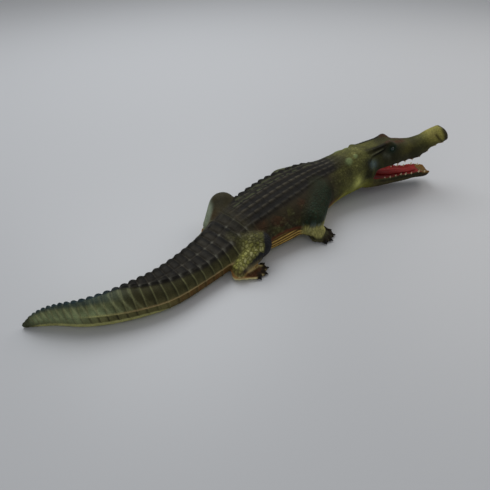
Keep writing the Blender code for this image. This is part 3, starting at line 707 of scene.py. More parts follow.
def back_relief(r):
    """Rows of low keels down the trunk's back, and two columns of plates between the tail's crests."""
    r.on_tail = ramp(r.s, PLACE["hips"] - 0.05, PLACE["hips"] + 0.03)
    r.single = ramp(r.s, PLACE["tail_taper"], PLACE["crests_meet"])
    r.far = ramp(r.s, PLACE["tail_taper"] - 0.01, PLACE["crests_meet"] + 0.02)
    row_across, row = scute_rows(r, KEEL_ROWS, KEEL_HALF)
    plate_across, _ = scute_rows(r, PLATE_COLUMNS, PLATE_HALF)
    rise = np.where((row == 0) | (row == len(KEEL_ROWS) - 1), OUTER_KEEL, INNER_KEEL)
    lobe = np.clip(r.phase / 0.7, 0, 1) ** 0.7 * np.clip((1 - r.phase) / 0.3, 0, 1) ** 0.7
    keels = rise * near(row_across, 0.38) * (0.40 + 0.60 * lobe) - 0.0004 * near(r.to_groove, 0.0022)
    keels = keels * fall(np.abs(r.aside), 1.65, 1.85)
    keels = keels * np.where(r.across < 0, ramp(r.aside, -1.40, -0.90), 1)
    plates = PLATE_RISE * (1 - np.clip(np.abs(plate_across), 0, 1) ** 4)
    plates = plates * np.clip(np.sin(math.pi * r.phase) * 1.8, 0, 1) ** 0.7
    plates = plates * fall(r.aside, 0.95, 1.1) * ramp(r.aside - right_crest(r.s), -0.1, 0.05)
    where = ramp(r.height, 0.66, 0.82) * ramp(r.s, NECK_END - 0.02, NECK_END + 0.05)
    return (keels * (1 - r.on_tail) + plates * r.on_tail * (1 - r.single)) * where


def right_crest(s):
    """How far aside the right crest runs, in half spacings."""
    return np.interp(s, *RIGHT_CREST)


def left_of_middle(r):
    """Whether a point lies nearer the left crest than the right one."""
    return r.across >= 0.5 * (right_crest(r.s) + 1) * r.apart


def crest_lift(r):
    """How high the rounded lobes of the crests stand over the back."""
    lobe = np.clip(np.sin(math.pi * r.phase**1.15), 0, 1) ** 0.55
    width = np.interp(r.s, [PLACE["tail_root"], PLACE["crests_meet"], LENGTH], CREST_WIDTHS)
    left, right = (near(r.across - place * r.apart, width) for place in (1, right_crest(r.s)))
    strength = np.maximum(crest_strength(r.s), 0.35) * np.where(left_of_middle(r), 1, RIGHT_CREST_SHARE)
    where = ramp(r.s, PLACE["hips"] - 0.06, PLACE["hips"] + 0.03) * ramp(r.height, 0.62, 0.82)
    r.lobe = lobe * np.maximum(left, right) * strength * where
    return CREST_HEIGHT * r.lobe


def above_line(r):
    """Height over the light line along the tail's flank, as a share of the tail's height."""
    return r.height - (0.54 + 0.06 * ramp(r.s, PLACE["tail_taper"], PLACE["tail_blade"]))


def belly_folds(r, pitch):
    """A wave down the belly's edge, -1 to 1, whose folds rise slowly towards the tail."""
    return np.cos(2 * math.pi * (r.z + FOLD_SLOPE * r.s) / pitch)


def flank_relief(r):
    """Raised ring lines on the tail's flanks, faint scales on the trunk's, and folds at the belly's edge."""
    r.scales, r.tone = pebbles(np.stack([r.s * 0.8, r.across, r.z], 1), *FLANK_SCALE)
    on_tail = ramp(r.s, PLACE["hips"] - 0.02, PLACE["tail_root"])
    from_line = above_line(r)
    before_blade = fall(r.s, PLACE["tail_blade"], PLACE["tail_narrow"])
    lateral = near(from_line, 0.035) * 0.0013 * ramp(r.s, PLACE["hips"], PLACE["tail_root"]) * before_blade
    lines = near(r.to_groove, 0.0016) * 0.0010 + lateral - 0.0008 * near(from_line + 0.05, 0.02)
    bumps = r.scales * (0.0003 + 0.0009 * ramp(r.height, 0.35, 0.6) * (r.tone > 0.55)) - 0.0004
    folds = 0.0007 * belly_folds(r, FOLD_PITCH) * fall(r.height, 0.22, 0.30)
    side = window(r.height, 0.06, 0.14, 0.80, 0.93)
    return side * (lines * on_tail + (bumps + folds) * (1 - on_tail))


def neck_relief(r):
    """Larger raised scales on the neck, a few big ones behind the head, and the lump of the throat."""
    neck = fall(r.s, PLACE["shoulders"] - 0.03, PLACE["shoulders"] + 0.03)
    big = np.zeros(len(r.s))
    for at, aside, size in NAPE_SCALES:
        spot = ((r.s - at) / size) ** 2 + ((np.abs(r.across) - aside) / (0.8 * size)) ** 2
        big = np.maximum(big, np.exp(-(spot**2)))
    raised = big * ramp(r.height, 0.45, 0.65)
    r.nuchal = raised * neck
    at, length, height, reach, rise = THROAT_LUMP
    r.lump = np.exp(-(((r.s - at) / length) ** 2) - ((r.height - height) / reach) ** 2)
    return neck * (raised * 0.0026 + r.scales * 0.0009 * (1 - big) + rise * r.lump)


def limb_relief(r):
    """A net of scales on the limbs, stretched upright and fainter on the left ones, and a crease over the
    right hind leg's ankle.
    """
    r.limb_scales, r.limb_tone = pebbles(r.points * (1, 1, 0.36), *LIMB_SCALE)
    smooth = np.maximum(r.in_limb["leg_left"], r.in_limb["arm_left"]) * 0.75
    r.creases = near(groove_gap(r.points, ANKLE_CREASE, (0, 1)), 0.0035) * near(r.z - 0.020, 0.016)
    return r.limb * ((r.limb_scales * 0.0014 - 0.0006) * (1 - smooth) + 0.0022 * r.creases)


def from_spot(local, place):
    """Distance to a place given for the left side, or to its mirror image on the right."""
    a, b, c = local.T
    return np.sqrt((a - place[0]) ** 2 + (np.abs(b) - place[1]) ** 2 + (c - place[2]) ** 2)


def head_relief(r):
    """Temple grooves, brow, eye socket, nostrils, nose folds and a row of bumps along the lip."""
    a, b, c = r.head.T
    r.eye, r.nostril = from_spot(r.head, EYE_PLACE), from_spot(r.head, NOSTRIL)
    flank = ramp(np.abs(b), 0.020, 0.030)
    out = 0
    # how far each line on the side of the head rises or sinks, and its half width
    for line, rise, width in (
        (TEMPLE_GROOVE, -0.0030, 0.0030),
        (EAR_GROOVE, -0.0024, 0.0022),
        (TEMPLE_RIDGE, 0.0018, 0.0028),
        (BROW, 0.0020, 0.0050),
    ):
        out = out + rise * flank * near(groove_gap(r.head, line), width)
    out += 0.0018 * near(r.eye - EYE_RIM, 0.0022)
    out += 0.0014 * near(r.nostril - NOSTRIL_RIM, 0.0024) - 0.0036 * near(r.nostril, 0.0034)
    out += -0.0020 * near(groove_gap(r.head, NOSE_FOLD) + 0.05 * (np.abs(b) < 0.012), 0.0024)
    r.over_lip = c - at_section(HEAD_SECTIONS, 4, a)
    lip = near(r.over_lip - 0.005, 0.004) * ramp(a, 0.05, 0.07) * ramp(np.abs(b), 0.012, 0.02)
    out += lip * (0.0010 + 0.0010 * np.cos(a * 2 * math.pi / 0.024))
    r.head_scales, r.head_tone = pebbles(r.head, *HEAD_SCALE)
    rough = fall(a, 0.20, 0.235) * (0.35 + 0.65 * fall(a, 0.05, 0.11))
    return out + 0.00065 * (r.head_scales - 0.5) * rough


def jaw_relief(r):
    """Scales, a groove along the side and a wavy lip on the lower jaw."""
    a, _, c = r.jaw.T
    r.jaw_scales, _ = pebbles(r.jaw, *JAW_SCALE)
    r.under_rim = at_section(JAW_SECTIONS, 2, a) - c
    lip = near(r.under_rim - 0.002, 0.0035) * ramp(a, 0.05, 0.07) * np.cos(a * 2 * math.pi / 0.026 + 1.2)
    groove = 0.0016 * near(groove_gap(r.jaw, JAW_GROOVE), 0.0022)
    return ramp(r.under_rim, 0.002, 0.006) * (0.0007 * (r.jaw_scales - 0.5) - groove) + 0.0010 * lip


# ---------------------------------------------------------------- the skin's paint
DARK_BACK = srgb(23, 21, 18)
RIDGE = srgb(74, 69, 58)
GREY_TIP = srgb(120, 118, 106)
SPECKLE = srgb(96, 100, 66)
FLANK = srgb(84, 80, 50)
FLANK_DEEP = srgb(36, 35, 22)
TRUNK_SIDE = srgb(48, 41, 28)
TAIL_GREEN = srgb(136, 148, 106)
RING_LINE = srgb(128, 128, 88)
LIGHT_LINE = srgb(164, 142, 98)
TAN = srgb(104, 80, 42)
PALE_BELLY = srgb(176, 174, 112)
OCHRE = srgb(204, 168, 88)
RED_BROWN = srgb(104, 54, 30)
LEG_GREEN = srgb(158, 156, 82)
LEG_HIGHLIGHT = srgb(176, 172, 124)
# Cream of the painted highlight on the limbs.
NET = srgb(46, 44, 24)
BLUE_BLACK = srgb(38, 38, 40)
SOLE = srgb(216, 206, 150)
OLIVE = srgb(92, 90, 46)
HEAD_DARK = srgb(34, 34, 24)
NOSE = srgb(138, 132, 68)
TEAL = srgb(16, 58, 44)
BLUE_GREY = srgb(122, 148, 158)
PALE_GREEN = srgb(124, 138, 92)
MOUTH_RED = srgb(128, 34, 30)
MOUTH_PINK = srgb(178, 92, 78)
CREAM = srgb(186, 176, 122)
THROAT = srgb(134, 134, 62)
NEAR_BLACK = srgb(18, 17, 14)
# How much lighter paint each row of keels gets, right to left: its own paint and painted light, most on top.
KEEL_PAINT_AND_LIGHT = np.array([0.2, 0.45, 0.7, 1.0, 0.8, 0.6, 0.1])
# The way that the dark front of the right hind leg faces.
LEG_FRONT = np.array([-0.64, -0.77, 0.0])


def mix(base, colour, share):
    share = np.clip(share, 0, 1)[:, None]
    return base * (1 - share) + colour * share


def layered(colour, *layers):
    """A colour with layers of paint over it, each a colour and its share, 0 to 1."""
    for paint, share in layers:
        colour = mix(colour, paint, share)
    return colour


def body_paint(r, normal):
    """Trunk, neck and tail: flanks first, then the lower bands and the belly, then the back and crests."""
    tail, far = r.on_tail, r.far
    forward = fall(r.s, PLACE["neck"] + 0.01, PLACE["shoulders"] + 0.05)
    rise, at, reach = BELLY_BULGE
    edge = BELLY_EDGE + rise * near(r.s - at, reach)
    trunk_edge = (1 - tail) * (1 - forward)
    folds = np.clip(belly_folds(r, FOLD_PAINT_PITCH) * 1.6 + 0.1, 0, 1)
    belly = layered(OCHRE, (THROAT, forward), (srgb(74, 46, 22), (1 - folds) * 0.9 * (1 - forward)))
    mid = ramp(r.s, 0.70, 0.80)
    crests = mix(srgb(30, 29, 26), srgb(40, 54, 58), far)
    near_left = left_of_middle(r) | (r.s > ONE_CREST)
    tips = near(r.to_groove, 0.0042) * near(r.aside - right_crest(r.s), 0.16) * tail * (1 - r.single)
    side = window(r.height, 0.35, 0.50, 0.80, 0.93)
    shoulder = fall(r.limb_gap["arm_right"], 0.004, 0.012) * ramp(r.z, 0.050, 0.068)
    return layered(
        mix(trunk_side(r, forward), tail_side(r), tail),
        (belly, ramp(edge - r.height, 0, 0.07) * (1 - tail) * 0.95),
        (RED_BROWN, near(r.height - edge - 0.02, 0.04) * trunk_edge * 0.7),
        (PALE_BELLY, ramp(mid * 0.22 + 0.10 - r.height, 0, 0.07) * tail * (0.5 + 0.5 * mid)),
        (PALE_BELLY, ramp(-normal[:, 2], 0.5, 0.8) * 0.8),
        (THROAT, forward * fall(r.height, 0.20, 0.50) * 0.85),
        (back_paint(r), on_back(r)),
        (srgb(48, 62, 64), far * ramp(r.height, 0.86, 0.97) * 0.75),
        (crests, ramp(r.lobe, 0.12, 0.35) * np.where(near_left, 0.9, 0.3)),
        # painted highlight on the rear corners of the right crest's lobes
        (GREY_TIP, tips * 0.70 * (r.phase > 0.5)),
        (srgb(44, 46, 32), ramp(r.s, LENGTH - 0.050, LENGTH - 0.012) * 0.85),
        (srgb(178, 180, 100), r.lump),
        (NEAR_BLACK, near(r.s - 0.006, 0.020) * side * 0.75),
        (srgb(40, 40, 26), shoulder * 0.85),
        (PALE_GREEN, r.nuchal * 0.75),
    )


def on_back(r):
    """1 on the dark back, between the outer rows of keels or the crests, 0 on the flanks."""
    u = np.abs(r.aside)
    right_edge = np.where(r.across < 0, fall(u, 1.00, 1.35), 1)
    trunk = ramp(r.height, 0.70, 0.84) * fall(u, 1.60, 1.75) * right_edge * ramp(r.s, 0.075, 0.135)
    plateau = fall(r.aside, 1.2, 1.5) * ramp(r.aside - right_crest(r.s), -0.40, -0.10)
    return np.maximum(trunk * (1 - r.on_tail), r.on_tail * ramp(r.height, 0.80, 0.93) * plateau)


def on_toes(points):
    """1 on the toes, 0 on the rest of the feet."""
    gaps = []
    for _, front, tips in FEET.values():
        for tip in tips:
            root = [front[k] + 0.45 * (tip[k] - front[k]) for k in (0, 1)]
            gaps.append(capsule_distance(points, (*root, 0.008), 0.007, (*tip, 0.006), 0.007))
    return 1 - ramp(np.min(gaps, axis=0), -0.001, 0.006)


def tail_side(r):
    """Olive panels between light ring lines, each with painted shade at its front, a light line along the
    flank and a tan band under it.
    """
    far, near_side = r.far, 1 - r.far
    along = r.s - 0.45 * (r.z - 0.04)
    streak = np.clip(np.sin(along * 2 * math.pi / 0.021) * 0.5 + 0.5, 0, 1) ** 5
    blade = ramp(r.s, PLACE["tail_middle"] + 0.03, PLACE["crests_meet"])
    from_line = above_line(r)
    before_end = fall(r.s, PLACE["crests_meet"], PLACE["tail_blade"] + 0.01)
    band = fall(from_line, -0.03, 0.01) * before_end
    mid = ramp(r.s, 0.68, 0.78)
    low = layered(TAN, (srgb(104, 100, 62), mid), (RED_BROWN, near(r.phase - 0.75, 0.22) * (1 - mid) * 0.4))
    return layered(
        FLANK,
        (FLANK_DEEP, ramp(r.height, 0.72, 0.90) * 0.45),
        (TAIL_GREEN, far * (0.40 + 0.6 * near(r.height - 0.62, 0.22))),
        (FLANK_DEEP, ramp(r.height, 0.62, 0.80) * near_side * 0.45),
        # painted shade across the front of each ring's panel
        (FLANK_DEEP, near(r.phase - 0.10, 0.18) * (0.60 - 0.25 * far)),
        (srgb(164, 168, 122), blade * streak * ramp(r.height, 0.45, 0.62) * 0.55),
        (RING_LINE, near(r.to_groove, 0.0014) * (0.45 + 0.3 * far)),
        (low, band * 0.85),
        # the same painted shade on the panels within the tan band
        (FLANK_DEEP, band * near(r.phase - 0.12, 0.15) * (0.35 + 0.45 * blade)),
        (mix(LIGHT_LINE, PALE_BELLY, far), near(from_line, 0.036) * before_end * 0.9),
    )


def trunk_side(r, forward):
    """Smooth dark flank with olive and red-brown clouds, greener towards the neck."""
    patch, _, patch_tone = cells(np.stack([r.s * 0.7, r.across * 0.5, r.z], 1), *CLOUD)
    cloud = 1 - ramp(patch, 0.25, 0.75)
    worn = (r.tone > 0.55) * r.scales
    speckled = ramp(np.abs(r.aside), 1.55, 1.75) * ramp(r.height, 0.40, 0.55) * (1 - forward)
    return layered(
        TRUNK_SIDE,
        (srgb(78, 78, 38), cloud * (patch_tone < 0.42) * 0.60),
        (RED_BROWN, cloud * (patch_tone > 0.66) * 0.20),
        (srgb(104, 104, 56), forward * (0.60 + 0.22 * r.scales)),
        (srgb(158, 154, 96), forward * ramp(patch, 0.55, 0.9) * worn * 0.30),
        (srgb(52, 54, 40), forward * cloud * (patch_tone > 0.45) * 0.55),
        (FLANK_DEEP, (1 - r.scales) * (0.45 - 0.25 * forward)),
        (SPECKLE, speckled * np.where(r.across > 0, 0.8, 0.25) * (r.tone > 0.5) * r.scales),
    )


def back_paint(r):
    """Dark back: lighter keels on the trunk, partly their paint and partly painted light, faint plates and
    pale corners on the tail.
    """
    tail, trunk = r.on_tail, 1 - r.on_tail
    row_across, row = scute_rows(r, KEEL_ROWS, KEEL_HALF)
    plate_across, _ = scute_rows(r, PLATE_COLUMNS, PLATE_HALF)
    keel = near(row_across, 0.36) * (0.45 + 0.55 * ramp(r.phase, 0.1, 0.6) * ramp(1 - r.phase, 0.02, 0.2))
    between = near(np.abs(row_across) - 1, 0.45) * (r.aside > 0.7)
    edge = np.maximum(near(r.to_groove, 0.0018), near(np.abs(plate_across) - 1, 0.10))
    on_root = fall(r.s, PLACE["tail_root"] - 0.02, PLACE["tail_middle"])
    return layered(
        DARK_BACK,
        # lighter keels: their own paint, plus painted light that makes the top rows lightest
        (RIDGE, keel * KEEL_PAINT_AND_LIGHT[row] * trunk),
        (SPECKLE, between * trunk * 0.42 * (r.tone > 0.35)),
        (NEAR_BLACK, near(r.to_groove, 0.0024) * near(row_across, 0.6) * trunk * 0.5),
        (RIDGE, tail * ramp(r.phase, 0.2, 0.6) * (0.16 + 0.20 * fall(r.s, 0.58, 0.66))),
        (RIDGE, edge * tail * 0.40 * (0.4 + 0.6 * (r.tone > 0.4))),
        (GREY_TIP, near(r.to_groove, 0.0036) * near(r.across, 0.0034) * on_root * tail * 0.5),
    )


def limb_paint(r, normal):
    """Netted yellow-green limbs with dark fronts, a smooth left knee, dark toes and pale soles."""
    scales, tone = r.limb_scales, r.limb_tone
    x, y, z = r.points.T
    nearest = np.argmin([r.limb_gap[name] for name in LIMBS], axis=0)
    left_arm, left_leg, right_arm, right_leg = ((nearest == k).astype(float) for k in range(len(LIMBS)))
    arm, leg = right_arm + left_arm, left_leg + right_leg
    facing = normal @ LEG_FRONT
    high = ramp(z, 0.045, 0.068)
    upper_arm = mix(srgb(38, 38, 24), srgb(34, 48, 34), scales)
    foot = ramp(-np.min([r.down_limb[name] for name in LIMBS], axis=0), -0.005, 0.004)
    foot_brown = mix(srgb(176, 130, 80), srgb(70, 40, 24), ramp(normal[:, 2], 0.3, 0.8))
    toes = on_toes(r.points)
    return layered(
        LEG_GREEN,
        # cream painted highlight on the scales down the middle of the limbs
        (LEG_HIGHLIGHT, (tone > 0.35) * scales * near(facing - 0.05, 0.40) * 0.8),
        (NET, (1 - scales) * 0.9),
        # right hind leg: dark thigh, dark blue-black front edge, brown above the foot
        (srgb(46, 44, 28), right_leg * ramp(z, 0.066, 0.088) * 0.70),
        (BLUE_BLACK, right_leg * ramp(facing, 0.26, 0.48) * ramp(z, 0.018, 0.030)),
        (srgb(84, 62, 44), right_leg * near(z - 0.026, 0.007) * 0.55),
        # left hind leg: smooth olive-brown knee with a painted light grey-green reflection on its outer side
        (srgb(54, 50, 34), left_leg * ramp(z, 0.035, 0.055)),
        (srgb(84, 62, 38), left_leg * near(z - 0.078, 0.014) * fall(x, 0.070, 0.085) * 0.7),
        (srgb(134, 144, 122), left_leg * ramp(x + 0.6 * y, 0.174, 0.192) * fall(z, 0.084, 0.104) * 0.85),
        # arms: dark green above the elbow, bright yellow-green forearm
        (upper_arm, arm * high),
        (srgb(176, 170, 108), arm * (1 - high) * (0.35 + 0.35 * scales)),
        # bluish painted highlight on some scales just above the right elbow
        (srgb(84, 96, 92), right_arm * near(z - 0.062, 0.008) * (tone > 0.6) * 0.6),
        (srgb(110, 110, 74), left_arm * ramp(z, 0.07, 0.10) * 0.6),
        # feet: brown on the legs, dark on the arms, darker toes, pale soles
        (mix(foot_brown, srgb(48, 46, 32), arm), foot * 0.95),
        (srgb(32, 25, 16), toes * foot),
        (SOLE, fall(z, 0.0095, 0.0130) * (1 - toes) * foot * (0.9 * leg + 0.1)),
        (srgb(172, 158, 108), right_leg * r.creases * 0.8),
    )


def head_paint(r, normal):
    """Olive skull deck and snout, dark temples, yellow nose with a black front, and the red palate."""
    a, b, c = r.head.T
    aside, over_lip, scales = np.abs(b), r.over_lip, r.head_scales
    to_edge = at_section(HEAD_SECTIONS, 1, a) - aside
    flank = ramp(aside, 0.022, 0.032) * fall(c, 0.062, 0.072)
    cheek = fall(a, 0.020, 0.040) * fall(c, 0.040, 0.055)
    smudge = ramp(aside, 0.022, 0.032) * np.where(b < 0, 0.95, 0.5)
    brow = near(groove_gap(np.stack([a, aside], 1), BROW_STREAK, (0, 1)), 0.0075) * ramp(c, 0.045, 0.055)
    ahead, up = (normal @ np.array(UPPER.to_3x3())[:, k] for k in (0, 2))
    palate = ramp(-up, 0.35, 0.75) * ramp(to_edge, 0.002, 0.005) * ramp(a, 0.004, 0.010)
    back_wall = ramp(ahead, 0.40, 0.70) * ramp(to_edge, 0.002, 0.006) * window(a, 0.000, 0.006, 0.024, 0.030)
    inside = np.maximum(palate * fall(over_lip, 0.006, 0.010), back_wall * fall(c, 0.012, 0.020))
    spots = near(a - 0.214, 0.012) * near(aside - 0.020, 0.010) * ramp(c, 0.03, 0.04)

    def stroke(line, width):
        return near(groove_gap(r.head, line), width)

    return layered(
        OLIVE,
        (srgb(104, 104, 54), (r.head_tone > 0.6) * scales * 0.5),
        (srgb(58, 58, 34), flank * 0.75),
        (srgb(40, 38, 24), window(a, 0.020, 0.045, 0.15, 0.20) * 0.72),
        (srgb(98, 92, 44), near(a - 0.128, 0.022) * near(c - 0.034, 0.012) * 0.55),
        # cheek: dark behind and below, a grey patch under the eye and a blue-grey smudge
        (srgb(40, 42, 28), cheek * 0.75),
        (NEAR_BLACK, stroke(((-0.030, 0.062), (-0.028, 0.030), (-0.020, 0.005)), 0.012) * 0.85),
        (NEAR_BLACK, stroke(((0.010, 0.034), (0.018, 0.014)), 0.009) * 0.65),
        (srgb(92, 94, 80), stroke(((0.048, 0.048), (0.058, 0.042)), 0.008) * flank * 0.7),
        (BLUE_GREY, stroke(((-0.012, 0.046), (0.000, 0.036)), 0.0120) * smudge),
        (srgb(80, 84, 44), stroke(((-0.020, -0.008), (0.000, -0.016)), 0.006) * 0.6),
        # temple grooves and the light ridge between them
        (NEAR_BLACK, stroke(TEMPLE_BAND, 0.0130) * ramp(aside, 0.014, 0.024) * 0.9),
        (NEAR_BLACK, stroke(EAR_GROOVE, 0.0034) * flank * 0.9),
        (srgb(118, 116, 92), stroke(TEMPLE_RIDGE, 0.0022) * flank * 0.8),
        # red-brown brow running on to the snout, and the dark teal eye surround
        (srgb(78, 44, 28), brow * 0.75),
        (HEAD_DARK, near(r.eye, 0.020) * 0.8),
        (TEAL, near(r.eye, 0.013) * 0.6),
        # nose: yellow bulb, black front and nostrils, dark folds
        (NOSE, ramp(a, 0.180, 0.215) * (0.35 + 0.65 * ramp(c, 0.014, 0.032))),
        (srgb(160, 150, 84), spots * 0.7),
        (srgb(70, 66, 34), near(a - 0.190, 0.012) * fall(c, 0.012, 0.030) * 0.6),
        (srgb(60, 52, 26), stroke(NOSE_FOLD, 0.0034) * 0.75),
        (srgb(30, 24, 16), ramp(a, 0.238, 0.250) * 0.88),
        (NEAR_BLACK, near(r.nostril, 0.0050)),
        # dark lip with a cream edge ahead, then everything inside the mouth
        (srgb(44, 43, 25), near(over_lip - 0.010, 0.007) * window(a, 0.03, 0.06, 0.18, 0.22) * 0.75),
        (CREAM, near(over_lip - 0.001, 0.0026) * window(a, 0.100, 0.130, 0.205, 0.225) * 0.85),
        (CREAM, near(over_lip - 0.001, 0.0022) * window(a, 0.034, 0.042, 0.062, 0.075) * 0.6),
        (FLANK_DEEP, (1 - scales) * 0.35),
        (MOUTH_RED, inside),
    )


def jaw_paint(r, normal):
    """Dark green lower jaw, red below, ochre at its tip, and the red floor of the mouth."""
    a, b, c = r.jaw.T
    under_rim = r.under_rim
    to_edge = at_section(JAW_SECTIONS, 1, a) - np.abs(b)
    over_underside = c - at_section(JAW_SECTIONS, 3, a)
    outward = normal @ np.array(LOWER.to_3x3())
    tip = ramp(a, 0.198, 0.212)
    inside = ramp(-outward[:, 1] * np.sign(b), -0.55, -0.20) * ramp(outward[:, 2], -0.35, -0.05)
    inside = inside * fall(under_rim, 0.030, 0.034) * ramp(to_edge, -0.001, 0.0015)
    gum = near(to_edge - 0.0035, 0.0018) * ramp(normal[:, 2], 0.2, 0.5) * window(a, 0.04, 0.05, 0.20, 0.21)
    return layered(
        srgb(70, 64, 40),
        (srgb(92, 86, 48), (r.head_tone > 0.5) * 0.5),
        (srgb(112, 108, 50), near(c + 0.050, 0.014) * fall(a, 0.01, 0.06) * 0.7),
        (srgb(132, 66, 44), fall(over_underside, 0.006, 0.016) * window(a, -0.005, 0.02, 0.06, 0.14) * 0.8),
        (srgb(30, 30, 20), near(under_rim - 0.010, 0.005) * ramp(a, 0.02, 0.05) * 0.7),
        (srgb(140, 100, 44), tip * fall(under_rim, 0.004, 0.010) * 0.9),
        (srgb(66, 50, 28), tip * ramp(under_rim, 0.006, 0.012) * 0.8),
        (FLANK_DEEP, (1 - r.jaw_scales) * 0.4),
        (MOUTH_RED, inside * window(a, 0.006, 0.014, 0.196, 0.208)),
        (MOUTH_PINK, gum * 0.25),
    )


def build_skin():
    """The skin, pressed into scutes, scales and folds, and painted point by point."""
    skin = smooth_skin()
    mesh = skin.data
    points = read_rows(mesh.vertices, "co")
    normal = read_rows(mesh.vertex_normals, "vector", np.float32).astype(float)
    r = Regions(points)
    trunk = r.body * ramp(r.s, -0.01, 0.02) * (back_relief(r) + flank_relief(r) + neck_relief(r))
    push = trunk + limb_relief(r) + r.in_head * head_relief(r) + r.in_jaw * jaw_relief(r)
    push = push * ramp(points[:, 2], 0.0003, 0.0030)
    flat, ones = r.side * np.sign(r.across)[:, None] * CREST_SPREAD, np.ones((len(points), 1))
    outward = unit(np.concatenate([flat, ones], 1))
    lift = crest_lift(r) * r.body
    write_points(mesh, pressed_flat(points + normal * push[:, None] + outward * lift[:, None]))
    colour = layered(
        body_paint(r, normal),
        (limb_paint(r, normal), r.limb),
        (head_paint(r, normal), r.in_head),
        (jaw_paint(r, normal), r.in_jaw),
    )
    layer = mesh.color_attributes.new("paint", "FLOAT_COLOR", "POINT")
    layer.data.foreach_set("color", np.concatenate([colour, ones], 1).ravel())
    mesh.shade_smooth()
    return skin


# ---------------------------------------------------------------- materials
def wire(material, node, inputs):
    """Sets a node's inputs, each to a value or to another node's output."""
    for key, value in inputs.items():
        if isinstance(value, bpy.types.NodeSocket):
            material.node_tree.links.new(value, node.inputs[key])
        else:
            node.inputs[key].default_value = value


def add_node(material, kind, inputs=None, **settings):
    """Adds a node with its settings and inputs, and returns its first output."""
    node = material.node_tree.nodes.new("ShaderNode" + kind)
    for key, value in settings.items():
        setattr(node, key, value)
    wire(material, node, inputs or {})
    return node.outputs[0]


def object_place(material):
    return add_node(material, "TexCoord").node.outputs["Object"]


def noise(material, scale, detail=4.0):
    inputs = {"Vector": object_place(material), "Scale": scale, "Detail": detail, "Roughness": 0.6}
    return add_node(material, "TexNoise", inputs).node.outputs["Fac"]


def clouds(material, scale, low, high, to_low, to_high, detail=4.0):
    """Noise, spread from one range to another."""
    spread = {"From Min": low, "From Max": high, "To Min": to_low, "To Max": to_high}
    return add_node(material, "MapRange", {"Value": noise(material, scale, detail), **spread})


def scaled(material, colour, factor):
    return add_node(material, "VectorMath", {0: colour, "Scale": factor}, operation="SCALE")


def painted(name, inputs_of):
    """A material whose shader takes the inputs that a function returns for it."""
    material = bpy.data.materials.new(name)
    material.use_nodes = True
    wire(material, material.node_tree.nodes["Principled BSDF"], inputs_of(material))
    return material


def skin_material():
    """Airbrushed paint on moulded rubber: cloudy tone, fine speckle, pores and a semi-gloss coat."""

    def inputs(material):
        paint = add_node(material, "VertexColor", layer_name="paint")
        cloud = clouds(material, 34, 0.3, 0.7, 0.72, 1.30)
        speckle = clouds(material, 420, 0.35, 0.65, 0.82, 1.20, 3)
        both = add_node(material, "Math", {0: cloud, 1: speckle}, operation="MULTIPLY")
        pores = add_node(material, "TexVoronoi", {"Vector": object_place(material), "Scale": 380})
        return {
            "Base Color": scaled(material, paint, both),
            "Roughness": clouds(material, 90, 0.3, 0.7, 0.46, 0.66),
            "Specular IOR Level": 0.08,
            "Normal": add_node(material, "Bump", {"Strength": 0.35, "Distance": 0.0008, "Height": pores}),
        }

    return painted("painted_skin", inputs)


def plain_paint(name, colour, roughness, spread, scale=160):
    """One paint with a cloudy tone and a fine uneven surface."""

    def inputs(material):
        base = add_node(material, "RGB")
        base.default_value = (*colour, 1)
        grain = {"Strength": 0.25, "Distance": 0.0005, "Height": noise(material, 500)}
        return {
            "Base Color": scaled(material, base, clouds(material, scale, 0.3, 0.7, 1 - spread, 1 + spread)),
            "Roughness": roughness,
            "Specular IOR Level": 0.15,
            "Normal": add_node(material, "Bump", grain),
        }

    return painted(name, inputs)


def eye_material():
    """Glossy dark teal eye."""

    def inputs(material):
        teal = add_node(material, "ValToRGB", {"Fac": noise(material, 240)})
        dark, light = teal.node.color_ramp.elements
        dark.color, light.color = (*srgb(5, 14, 12), 1), (*srgb(12, 46, 36), 1)
        return {"Base Color": teal, "Roughness": 0.16, "Coat Weight": 0.3, "Coat Roughness": 0.05}

    return painted("painted_eye", inputs)


# ---------------------------------------------------------------- pieces
# Teeth: ahead of the hinge, and size. Then how far each row stands in from the edge and over it.
LOWER_TEETH = (
    *((0.058, 0.60), (0.080, 0.75), (0.102, 0.85), (0.122, 1.15)),
    *((0.142, 1.0), (0.164, 0.8), (0.190, 1.1), (0.214, 0.9)),
)
UPPER_TEETH = (
    *((0.066, 0.2), (0.092, 0.2), (0.118, 0.35), (0.144, 0.45)),
    *((0.170, 0.2), (0.196, 0.3), (0.222, 0.4), (0.246, 0.3)),
)
LOWER_SET, UPPER_SET = (0.0032, -0.0010), (0.0058, 0.0020)
TOOTH_LENGTH, TOOTH_RADIUS, TOOTH_ROOT, TOOTH_LEAN = 0.0052, 0.0027, 0.0030, 0.0008
CLAW_RADIUS, CLAW_ROOT, CLAW_RISE, CLAW_BEND = 0.0052, 0.0060, 0.0014, 0.0026


def piece_from(name, tubes, material):
    """One object of several closed tubes."""
    mesh = closed_mesh(name, tubes)
    mesh.shade_smooth()
    mesh.materials.append(material)
    return placed_object(name, mesh)


def horn(root, tip, radius, bend, around=14, count=12):
    """A pointed cone from root to tip that bends by a vector at its middle."""
    root, tip, bend = (np.array(v, float) for v in (root, tip, bend))
    across = unit(np.cross(unit(tip - root), [0.31, 0.17, 0.94]))
    up = np.cross(across, unit(tip - root))
    angle = circle(around)[:, None]
    rings = []
    for t in np.linspace(0, 1, count):
        centre = root + (tip - root) * t + bend * math.sin(t * math.pi * 0.5) * t
        wide = radius * (1 - t) ** 0.7 + 0.00025
        rings.append(centre + wide * (np.cos(angle) * across + np.sin(angle) * up))
    return np.array(rings)


